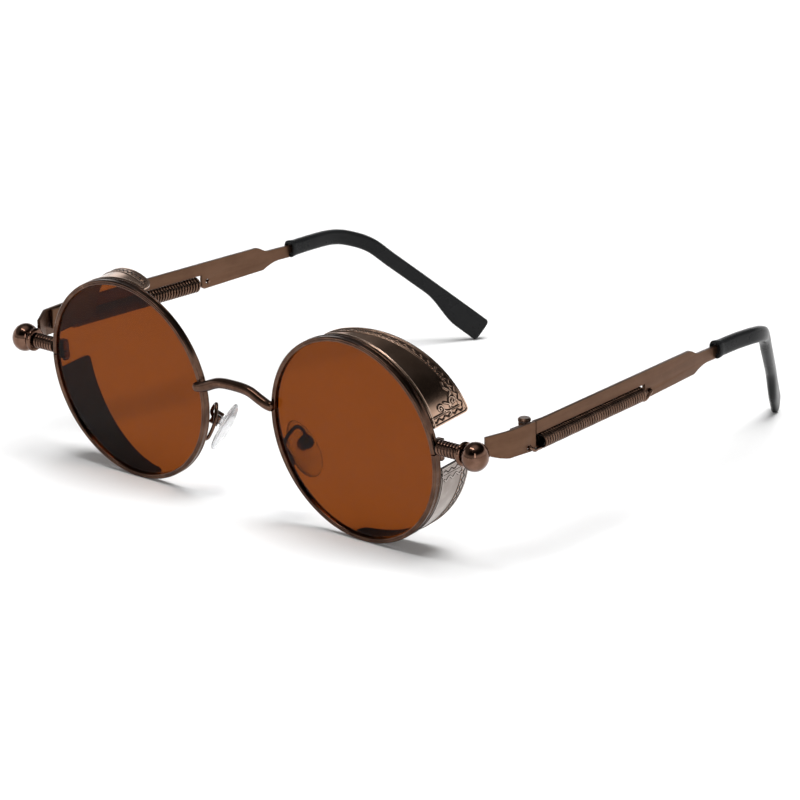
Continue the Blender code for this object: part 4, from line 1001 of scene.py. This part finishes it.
plate = {
    "edge": (0.16 * mm, 32, 3), "hingeEdge": (0.1 * mm, 32, 2),  # width, least angle, steps
    "headRadius": 1.5 * mm, "headHeight": 0.75 * mm, "pin": 0.55 * mm, "slot": 0.4 * mm,
    "slotDepth": 0.3 * mm, "low": 2.9 * mm, "high": 7.7 * mm, "headGap": 0.3 * mm,
    "axis": (72.8525 * mm, 16.7 * mm), "slotTurn": math.radians(25),
}


def makePlates(sideName, side):
    temple = "temple_" + sideName
    for node, name, body, edge in (
            ("hinge_plate_", "front_plate_%s", "front", plate["edge"]),
            ("temple_", "temple_plate_%s", temple, plate["edge"]),
            ("front_hinge_", "front_hinge_%s_leaf", "front", plate["hingeEdge"]),
            ("temple_hinge_", "temple_hinge_%s_leaf", temple, plate["hingeEdge"])):
        mesh = carved(cadCopy(node + sideName), [], *edge)
        keep(shown(name % sideName, mesh, [satin, satinWorn], 30), body, "satin_bronze", node + sideName)
    top = plate["high"] + plate["headGap"]
    mesh = screwMesh(plate["headRadius"], plate["headHeight"], plate["pin"], top - plate["low"],
                     plate["slot"], plate["slotDepth"])
    head = mirrored((*plate["axis"], top), side) + middle
    turn = Matrix.Translation(head) @ Matrix.Rotation(plate["slotTurn"], 4, "Z")
    obj = shown("hinge_screw_slotted_" + sideName, fit(mesh, turn), [screwSkin], 30)
    return keep(obj, "front", "dark_bronze", "hinge_screw_" + sideName)


for sideName, side in sides:
    makePlates(sideName, side)
print("plates and hinges made")


# Springs

coil = {
    "radius": 1.60 * mm, "wire": 0.38 * mm, "aside": -0.09 * mm, "start": 1.5 * mm, "length": 40.3 * mm,
    "turns": 44, "startTurn": math.radians(-65.0), "steps": 22, "wireSides": 9, "frontHeight": 3.0 * mm,
    "rearHeight": 3.75 * mm, "toeIn": math.radians(4.64), "plate": 0.8 * mm,
    "seam": (75.602 * mm, 17.7 * mm), "reach": 0.95 * mm, "inset": 0.1 * mm, "bow": 0.15 * mm, "hookSteps": 6,
    "frontHole": (75.1038 * mm, 15.4 * mm, 2.45 * mm), "frontBend": (0.9 * mm, -0.75 * mm), "lead": 0.55,
    "rearHole": (45.2 * mm, 3.95 * mm), "rearBend": (0.7 * mm, 0.45 * mm), "rearStart": (0.75 * mm, 1.5 * mm),
    "paintedShadeFoot": 0.50, "paintedShadeTop": 0.97,
}


def templePoint(distance, height, outward=0.0):  # on the temple's middle plane, measured back from the seam
    along = Vector((-math.sin(coil["toeIn"]), math.cos(coil["toeIn"]), 0.0))
    out = Vector((math.cos(coil["toeIn"]), math.sin(coil["toeIn"]), 0.0))
    start = Vector((*coil["seam"], 0.0)) - out * coil["plate"] / 2
    return start + along * distance + out * outward + Vector((0, 0, height))


def springHooks(begin, final):  # from the plate's hole to the coil, and from the coil to the temple's hole
    reach, inset = coil["reach"], coil["inset"]
    wide = reach + coil["bow"]
    x = Vector((1, 0, 0))
    hole = Vector(coil["frontHole"])
    bend = coil["frontBend"]
    front = [hole - x * reach, hole + x * (reach - inset), hole + Vector((wide, *bend)),
             blend(hole + Vector((reach, *bend)), begin, coil["lead"]), begin]
    distance, height = coil["rearHole"]
    past, under = coil["rearStart"]
    before, below = coil["rearBend"]
    end = coil["start"] + coil["length"]
    rear = [final, templePoint(end + past, height - under, wide),
            templePoint(distance - before, height - below, wide),
            templePoint(distance, height, reach - inset), templePoint(distance, height, -reach)]
    return [smoothRoute(front, coil["hookSteps"]), smoothRoute(rear, coil["hookSteps"])]


def makeSpring(sideName, side):
    first = templePoint(coil["start"], coil["frontHeight"], coil["aside"])
    last = templePoint(coil["start"] + coil["length"], coil["rearHeight"], coil["aside"])
    axis = (last - first).normalized()
    out = Vector((math.cos(coil["toeIn"]), math.sin(coil["toeIn"]), 0.0))
    up = axis.cross(out)
    up = up if up.z > 0 else -up
    place = matrixOf(first, out, up, axis)
    x, y = coil["radius"] * math.cos(coil["startTurn"]), coil["radius"] * math.sin(coil["startTurn"])
    hooks = springHooks(place @ Vector((x, y, 0)), place @ Vector((x, y, coil["length"])))
    inverse = place.inverted()
    lines = linesMesh([[inverse @ p for p in hook] for hook in hooks])
    mesh = grown(trees["spring"], {
        "Coil Radius": coil["radius"], "Wire Radius": coil["wire"], "Length": coil["length"],
        "Turns": float(coil["turns"]), "Start Turn": coil["startTurn"], "Steps": coil["steps"],
        "Sides": coil["wireSides"], "Material": wireSkin}, lines)

    def height(p):  # painted shade on all but the outer crest of each turn; the hooks get none
        if not 0 < p.z < coil["length"]:
            return 1.0
        outward = (math.hypot(p.x, p.y) - coil["radius"]) / coil["wire"]
        return smooth(coil["paintedShadeFoot"], coil["paintedShadeTop"], outward)

    raiseBy(mesh, height)
    mirror = Matrix.Translation(middle) @ Matrix.Diagonal((side, 1, 1, 1))
    obj = shown("spring_coil_" + sideName, fit(mesh, mirror @ place), [wireSkin], 70)
    bm = bmesh.new()
    bm.from_mesh(obj.data)
    bmesh.ops.recalc_face_normals(bm, faces=bm.faces)
    bm.to_mesh(obj.data)
    bm.free()
    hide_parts("spring_" + sideName)
    pivot = mirrored((*plate["axis"], 0), side) + middle
    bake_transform(obj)
    return obj


for sideName, side in sides:
    makeSpring(sideName, side)
print("springs made")


# Ear tips

tip = {
    "start": 73.3 * mm, "middle": 6.675 * mm, "straight": 15.5 * mm, "toeIn": 0.03,
    "ease": (1.3 * mm, 4.9 * mm, 0.95 * mm), "bend": (4.39 * mm, 10.0 * mm, 3.28 * mm),
    "end": (20.3 * mm, 36.17 * mm, 27.1 * mm),  # inward, back and down from the end of the straight part
    "arch": 0.2 * mm, "archAt": 0.55, "dropKnots": (0.2, 0.55, 1.0), "routeSteps": 16,
    "frontHeight": 4.0 * mm, "waistHeight": 3.75 * mm, "endHeight": 6.2 * mm, "frontThick": 3.1 * mm,
    "endThick": 2.4 * mm, "flareStart": 0.72, "flareEnd": 0.91, "rounding": 0.8 * mm, "endDome": 0.97,
    "square": 0.75, "stations": 96, "round": 40, "swell": 0.2 * mm, "swellReach": 2.4 * mm,
    "lookBack": 4, "lookAhead": 5, "endAngles": (12, 25, 38, 50, 62, 74, 84, 89),
    "mouth": ((0.728, 0.55), (0.616, 0.252), (0.448, 0.056), (0.308, 0.0), (0.168, 0.02), (0.0616, 0.0784),
              (0.0, 0.224)),  # inset and place along the tip of each ring, in mm
}


def tipRing(centre, tall, across):
    points = []
    for i in range(tip["round"]):
        a = 2 * math.pi * (i + 0.5) / tip["round"]
        c, s = math.cos(a), math.sin(a)
        points.append(centre + tall * math.copysign(abs(c) ** tip["square"], c)
                      + across * math.copysign(abs(s) ** tip["square"], s))
    return points


def tipFrames():  # the tip's middle, upright and sideways reach at each station
    start = templePoint(tip["start"], tip["middle"])
    bend = start + Vector((-tip["toeIn"], 1.0, 0.0)).normalized() * tip["straight"]
    eased, turned, end = [bend + Vector((-inward, back, -drop)) for inward, back, drop in
                          (tip["ease"], tip["bend"], tip["end"])]
    arch = blend(start, bend, tip["archAt"]) + Vector((0, 0, tip["arch"]))
    knots = [start, arch, bend, eased, turned] + [blend(turned, end, s) for s in tip["dropKnots"]]
    route = smoothRoute(knots, tip["routeSteps"])
    lengths = [0.0]
    for a, b in zip(route, route[1:]):
        lengths.append(lengths[-1] + (b - a).length)
    frames = []
    k = 0
    for share in even(tip["stations"]):
        target = share * lengths[-1]
        while k < len(route) - 2 and lengths[k + 1] < target:
            k += 1
        centre = blend(route[k], route[k + 1], (target - lengths[k]) / (lengths[k + 1] - lengths[k]))
        ahead, behind = route[min(k + tip["lookAhead"], len(route) - 1)], route[max(k - tip["lookBack"], 0)]
        tangent = (ahead - behind).normalized()
        across = Vector((tangent.y, -tangent.x, 0.0)).normalized()
        tall = across.cross(tangent).normalized()
        height = blend(tip["frontHeight"], tip["waistHeight"], min(share / tip["flareStart"], 1.0))
        rise = smooth(tip["flareStart"], tip["flareEnd"], share)
        flare = (tip["endHeight"] - tip["waistHeight"]) * rise  # it grows downward only
        thick = blend(tip["frontThick"], tip["endThick"], share)
        swell = tip["swell"] * (1 - smooth(0.0, tip["swellReach"], target))
        frames.append((centre - tall * flare / 2, tall, (height + flare) / 2 + swell,
                       across, thick / 2 + swell, tangent))
    return frames


def makeTip(sideName, side):
    frames = tipFrames()
    rings = []
    centre, tall, high, across, thick, tangent = frames[0]
    for inset, forward in tip["mouth"]:
        rings.append(tipRing(centre + tangent * forward * mm, tall * (high - inset * mm),
                             across * (thick - inset * mm)))
    for centre, tall, high, across, thick, tangent in frames[2:]:
        rings.append(tipRing(centre, tall * high, across * thick))
    for degrees in tip["endAngles"]:  # the rounded end
        angle = math.radians(degrees)
        inset = tip["rounding"] * (1 - math.cos(angle))
        rings.append(tipRing(centre + tangent * tip["rounding"] * math.sin(angle) * tip["endDome"],
                             tall * (high - inset), across * (thick - inset)))
    lows = [min(p.z for p in ring) for ring in rings]
    foot, lip = lows.index(min(lows)), len(tip["mouth"]) - 1
    fall = -middle.z - lows[foot]  # the end comes down to the floor
    for i, ring in enumerate(rings):
        shift = fall * (max(i - lip, 0) / (foot - lip)) ** 2 if i < foot else fall
        for p in ring:
            p.z += shift
    rings = [[mirrored(p, side) + middle for p in ring] for ring in rings]
    obj = shown("ear_tip_" + sideName, ringsMesh(rings), [blackSkin], 50)
    return keep(obj, "temple_" + sideName, "black_tip", "tip_" + sideName)


for sideName, side in sides:
    makeTip(sideName, side)
print("ear tips made")


# Nose pads

pad = {
    "besideRim": 1.85 * mm, "back": 8.0 * mm, "drop": 9.1 * mm, "length": 14.4 * mm, "width": 7.2 * mm,
    "thickness": 2.7 * mm, "backShare": 0.42, "narrowing": 0.12, "plump": 0.9, "splay": math.radians(32.5),
    "faceTurn": math.radians(20.0), "screwDepth": 1.1 * mm, "along": 0.9 * mm, "tab": 0.8 * mm,
    "tabHeight": 1.9 * mm, "tabLap": 0.9 * mm, "margin": 0.35 * mm, "around": 56, "bands": 32,
}
cup = {
    "radius": 1.8 * mm, "front": 0.75 * mm, "back": 1.4 * mm, "slot": 1.4 * mm, "slotFloor": 0.25 * mm,
    "slotTop": 2 * mm, "edge": (0.12 * mm, 35, 2),  # width, least angle, steps
    "around": 56, "boreAround": 24, "boreGap": 0.1 * mm, "cutter": 4 * mm, "screw": 0.35 * mm,
    "head": 0.62 * mm, "headHeight": 0.16 * mm, "headSink": 0.3 * mm, "screwShort": 0.55 * mm,
    "driverSlot": 0.2 * mm, "driverDepth": 0.1 * mm,
}
arm = {
    "radius": 0.45 * mm, "footAngle": math.radians(207.7), "riseAngle": math.radians(196.0),
    "lapped": math.radians(2.0), "top": (1.5 * mm, 1.9 * mm, 3.9 * mm), "elbow": 1.0 * mm, "above": 3.1 * mm,
    "lap": 0.25 * mm, "lift": 1.4, "steps": 14, "around": 24,
}


def padAxes(side):
    up = Vector((-side * math.sin(pad["splay"]), 0.0, math.cos(pad["splay"])))
    face = Vector((-side * math.cos(pad["faceTurn"]), math.sin(pad["faceTurn"]), 0.0))
    face = (face - up * face.dot(up)).normalized()
    return Matrix((up.cross(face), up, face)).transposed()


def padPivot(side):
    nasal = rim["lensDistance"] / 2 - rim["radius"]
    centre = mirrored((nasal + pad["besideRim"], pad["back"], -pad["drop"]), side)
    return centre + padAxes(side) @ Vector((0.0, pad["along"], -pad["thickness"] / 2 - pad["screwDepth"]))


def padCushion():
    bm = bmesh.new()
    bmesh.ops.create_uvsphere(bm, u_segments=pad["around"], v_segments=pad["bands"], radius=1.0)
    for vert in bm.verts:
        x, y, z = vert.co
        plump = math.copysign(abs(z) ** pad["plump"], z)
        reach = 1 - pad["backShare"] if z > 0 else pad["backShare"]
        vert.co = (x * pad["width"] / 2 * (1 - pad["narrowing"] * y),
                   y * pad["length"] / 2 - pad["along"],
                   pad["screwDepth"] + pad["thickness"] * (pad["backShare"] + plump * reach))
    half, high, low = pad["tab"] / 2, pad["tabHeight"] / 2, -cup["screw"] - pad["margin"]
    tab = boxMesh((-half, -high, low), (half, high, pad["screwDepth"] + pad["tabLap"]))
    return carved(meshOf(bm), [("UNION", tab)])


def padCup(across):
    long, low = cup["cutter"], -cup["screw"] - pad["margin"] - cup["slotFloor"]
    body = twoFinishes(rodMesh(cup["radius"], -cup["back"], cup["front"], cup["around"]))
    gap = boxMesh((-cup["slot"] / 2, -long, low), (cup["slot"] / 2, long, cup["slotTop"]))
    bore = rodMesh(cup["screw"] + cup["boreGap"], -long, long, cup["boreAround"])
    bore.transform(across)
    return carved(body, [("DIFFERENCE", gap), ("DIFFERENCE", bore)], *cup["edge"])


def armRoute(side):  # from the rim's back, up and over, and down into the cup
    box = padPivot(side)
    backward, upward = padAxes(side) @ Vector((0, 0, -1)), padAxes(side) @ Vector((0, 1, 0))
    behind = cup["back"] + rim["touch"]
    nasal, forward, rise = arm["top"]
    lensTurn = Matrix.Rotation(rim["tilt"], 3, "X")
    centre = Vector((side * rim["lensDistance"] / 2, 0, 0))
    seat = rim["depth"] / 2 + rim["touch"]
    lifted = seat + arm["radius"] * arm["lift"]
    route = []
    for angle, radius, depth in (
            (arm["footAngle"], rim["radius"] - rim["wall"] / 2, seat),
            (arm["footAngle"] - arm["lapped"], rim["radius"] - rim["wall"] / 4, lifted),
            (arm["riseAngle"], rim["radius"] + rim["wall"] / 3, seat + arm["radius"] * 2)):
        place = Vector((side * radius * math.cos(angle), depth, radius * math.sin(angle)))
        route.append(centre + lensTurn @ place)
    route += [box + Vector((-side * nasal, -forward, rise)),
              box + backward * (behind + arm["radius"]) + upward * arm["above"],
              box + backward * (behind + arm["radius"]) + upward * arm["elbow"],
              box + backward * (behind - arm["lap"])]
    return [p + middle for p in smoothRoute(route, arm["steps"])]


def makePad(sideName, side):
    place = padAxes(side).to_4x4()
    place.translation = padPivot(side) + middle
    across = Matrix.Rotation(math.radians(90), 4, "Y")
    obj = shown("pad_cushion_" + sideName, fit(padCushion(), place), [clearSkin], 50)
    keep(obj, "pad_" + sideName, "clear_silicone", "nose_pad_" + sideName)

    obj = shown("pad_cup_" + sideName, fit(padCup(across), place), [rimBronze, bronzeWorn], 30)
    keep(obj, "front", "dark_bronze", "pad_box_" + sideName)

    mesh = screwMesh(cup["head"], cup["headHeight"], cup["screw"], 2 * cup["radius"] - cup["screwShort"],
                     cup["driverSlot"], cup["driverDepth"])
    mesh.transform(Matrix.Translation((0, 0, cup["radius"] - cup["headSink"])))
    mesh.transform(across)
    obj = shown("pad_screw_slotted_" + sideName, fit(mesh, place), [screwSkin], 30)
    keep(obj, "front", "spring_wire", "pad_screw_" + sideName)

    route = armRoute(side)
    wire = ringsMesh(tubeRings(route, [arm["radius"]] * len(route), arm["around"]))
    obj = shown("pad_wire_" + sideName, wire, [rimBronze], 50)
    return keep(obj, "front", "dark_bronze", "pad_arm_" + sideName)


for sideName, side in sides:
    makePad(sideName, side)
print("nose pads made")


# Bridge

bridge = {
    "radius": 1.24 * mm, "lap": 1.95 * mm, "bend": 0.83, "endHeight": 3.4 * mm, "endRise": 0.25 * mm,
    "top": 6.1 * mm, "forward": 2.1 * mm, "shoulder": 2 / 3, "shoulderRise": 0.35, "crown": 0.37,
    "crownRise": 0.88, "endRounding": 1.1 * mm, "endRadius": 0.02 * mm, "seatFrom": 0.5 * mm,
    "seatTo": 0.2 * mm, "steps": 14, "around": 40,
}


def makeBridge():
    y = -bridge["forward"]
    rimEdge = rim["lensDistance"] / 2 - rim["radius"]
    endX = rimEdge + bridge["lap"]
    low, top = bridge["endHeight"], bridge["top"]
    half = [(endX, y, low), (endX * bridge["bend"], y, low + bridge["endRise"]),
            (endX * bridge["shoulder"], y, blend(low, top, bridge["shoulderRise"])),
            (endX * bridge["crown"], y, blend(low, top, bridge["crownRise"]))]
    knots = [(-a, b, c) for a, b, c in half] + [(0, y, top)] + list(reversed(half))
    route = smoothRoute(knots, bridge["steps"])
    radii = []
    for point in route:  # rounded off at both ends
        inward = min((endX - abs(point.x)) / bridge["endRounding"], 1.0)
        radii.append(bridge["radius"] * math.sqrt(max(1 - (1 - inward) ** 2, 0.0)) + bridge["endRadius"])
    rings = tubeRings(route, radii, bridge["around"])
    seat = -rim["depth"] / 2 - rim["touch"]
    turn = Matrix.Rotation(rim["tilt"], 3, "X")
    for ring in rings:  # flattened where it sits on the rims
        for p in ring:
            local = turn.inverted() @ p
            if local.y > seat:
                nearRim = smooth(rimEdge - bridge["seatFrom"], rimEdge + bridge["seatTo"], abs(p.x))
                local.y = blend(local.y, seat, nearRim)
                p[:] = turn @ local
    rings = [[p + middle for p in ring] for ring in rings]
    obj = shown("bridge_bar", ringsMesh(rings), [rimBronze], 60)
    return keep(obj, "front", "dark_bronze", "bridge")


makeBridge()
print("bridge made")


# Floor, lights and camera

studio = {
    "floorSize": 8.0, "floorDrop": 0.03 * mm, "floorGlow": 0.02, "floorColour": 0.79,
    "sunTurn": math.radians(34.0), "sunPower": 3.2, "sunFrom": (0.16, 0.06, 1.0), "leftGlow": 0.16,
    "frontShare": 0.45,
    "sky": ((0.0, 0.95), (0.14, 1.25), (0.29, 1.2), (0.43, 0.05), (0.52, 0.015), (0.66, 0.02), (0.84, 0.06),
            (0.95, 0.55), (1.0, 0.75)),  # height, brightness
    "lamps": {  # place, target, size, power
        "frontTop": ((-0.02, -0.25, 0.70), (-0.02, 0, 0.03), (0.46, 0.08), 1.0),
        "frontSide": ((0.75, -0.55, 0.35), (0.03, -0.03, 0.02), (0.12, 0.5), 0.7),
    },
}
view = {  # the photograph's own view, from a fit to the rims and the temples
    "turn": math.radians(42.0066), "rise": math.radians(17.5292), "roll": math.radians(-0.61088),
    "aside": 37.3105 * mm, "up": 1.99275 * mm, "back": 1073.256 * mm, "lens": 206.86,
}


def makeFloor():
    half, low = studio["floorSize"] / 2, -studio["floorDrop"]
    mesh = bpy.data.meshes.new("floor")
    mesh.from_pydata([(-half, -half, low), (half, -half, low), (half, half, low), (-half, half, low)], [],
                     [(0, 1, 2, 3)])
    floor = placed("floor", mesh)
    skin = Finish("paleFloor")
    tone = studio["floorColour"]
    lit = skin.node("ShaderNodeBsdfDiffuse", inputs={"Color": (tone, tone, tone, 1.0)})
    path = skin.node("ShaderNodeLightPath", output="Is Camera Ray")
    seen = skin.sum("MINIMUM", path + path.also("Is Glossy Ray") + path.also("Is Transmission Ray"), 1.0)
    glow = skin.node("ShaderNodeEmission", inputs={
        "Color": (1.0, 1.0, 1.0, 1.0), "Strength": seen * studio["floorGlow"]})
    skin.put(skin.out.inputs["Surface"], skin.node("ShaderNodeAddShader", inputs={0: lit, 1: glow}))
    mesh.materials.append(skin.material)
    return floor


def makeWorld():  # a sky that is bright low down and overhead, and white to the camera
    world = bpy.data.worlds.new("studio")
    bpy.context.scene.world = world
    world.use_nodes = True
    bench = Bench(world.node_tree)
    sky = world.node_tree.nodes["Background"]
    aim = bench.node("ShaderNodeTexCoord", output="Generated")
    height = bench.node("ShaderNodeSeparateXYZ", inputs={0: aim}, output="Z")
    stops = [(place, (tone, tone, tone)) for place, tone in studio["sky"]]
    ramp = bench.node("ShaderNodeValToRGB", {"stops": stops}, {"Fac": height})
    inFront = bench.between(height.also("Y"), -0.75, -0.25, studio["frontShare"], 1.0)
    atLeft = bench.between(height.also("X") * -1.0, -0.05, 0.50, 0.0, studio["leftGlow"])
    tone = bench.sum("MAXIMUM", ramp * inFront, atLeft)
    camera = bench.node("ShaderNodeLightPath", output="Is Camera Ray")
    bench.put(sky.inputs["Color"], (1.0, 1.0, 1.0, 1.0))
    bench.put(sky.inputs["Strength"], tone + camera * (1.0 - tone))


def makeLamp(name, place, target, size, power):
    data = bpy.data.lights.new(name, "AREA")
    data.shape = "RECTANGLE"
    data.size, data.size_y = size
    data.energy = power
    lamp = placed(name, data)
    lamp.location = place
    lamp.rotation_euler = (Vector(target) - Vector(place)).to_track_quat("-Z", "Y").to_euler()
    return lamp


def makeSun():
    data = bpy.data.lights.new("overhead", "SUN")
    data.angle = studio["sunTurn"]
    data.energy = studio["sunPower"]
    sun = placed("overhead", data)
    sun.rotation_euler = Vector(studio["sunFrom"]).to_track_quat("Z", "Y").to_euler()
    sun.visible_glossy = False  # it lights the floor and leaves the metal to the sky
    return sun


def makeCamera():
    turn, rise, roll = view["turn"], view["rise"], view["roll"]
    back = Vector((math.sin(turn) * math.cos(rise), -math.cos(turn) * math.cos(rise), math.sin(rise)))
    right = Vector((math.cos(turn), math.sin(turn), 0.0))
    up = back.cross(right)
    x = right * math.cos(roll) + up * math.sin(roll)
    y = up * math.cos(roll) - right * math.sin(roll)
    data = bpy.data.cameras.new("camera")
    data.lens = view["lens"]
    data.sensor_width = 36.0
    data.clip_start = 0.01
    camera = placed("camera", data)
    place = x * view["aside"] + y * view["up"] + back * view["back"] + middle
    camera.matrix_world = matrixOf(place, x, y, back)
    bpy.context.scene.camera = camera


makeFloor()
makeWorld()
makeSun()
for name, values in studio["lamps"].items():
    makeLamp(name, *values)
makeCamera()
bpy.context.scene.view_settings.view_transform = "Standard"
print("studio made")

bpy.context.view_layer.update()
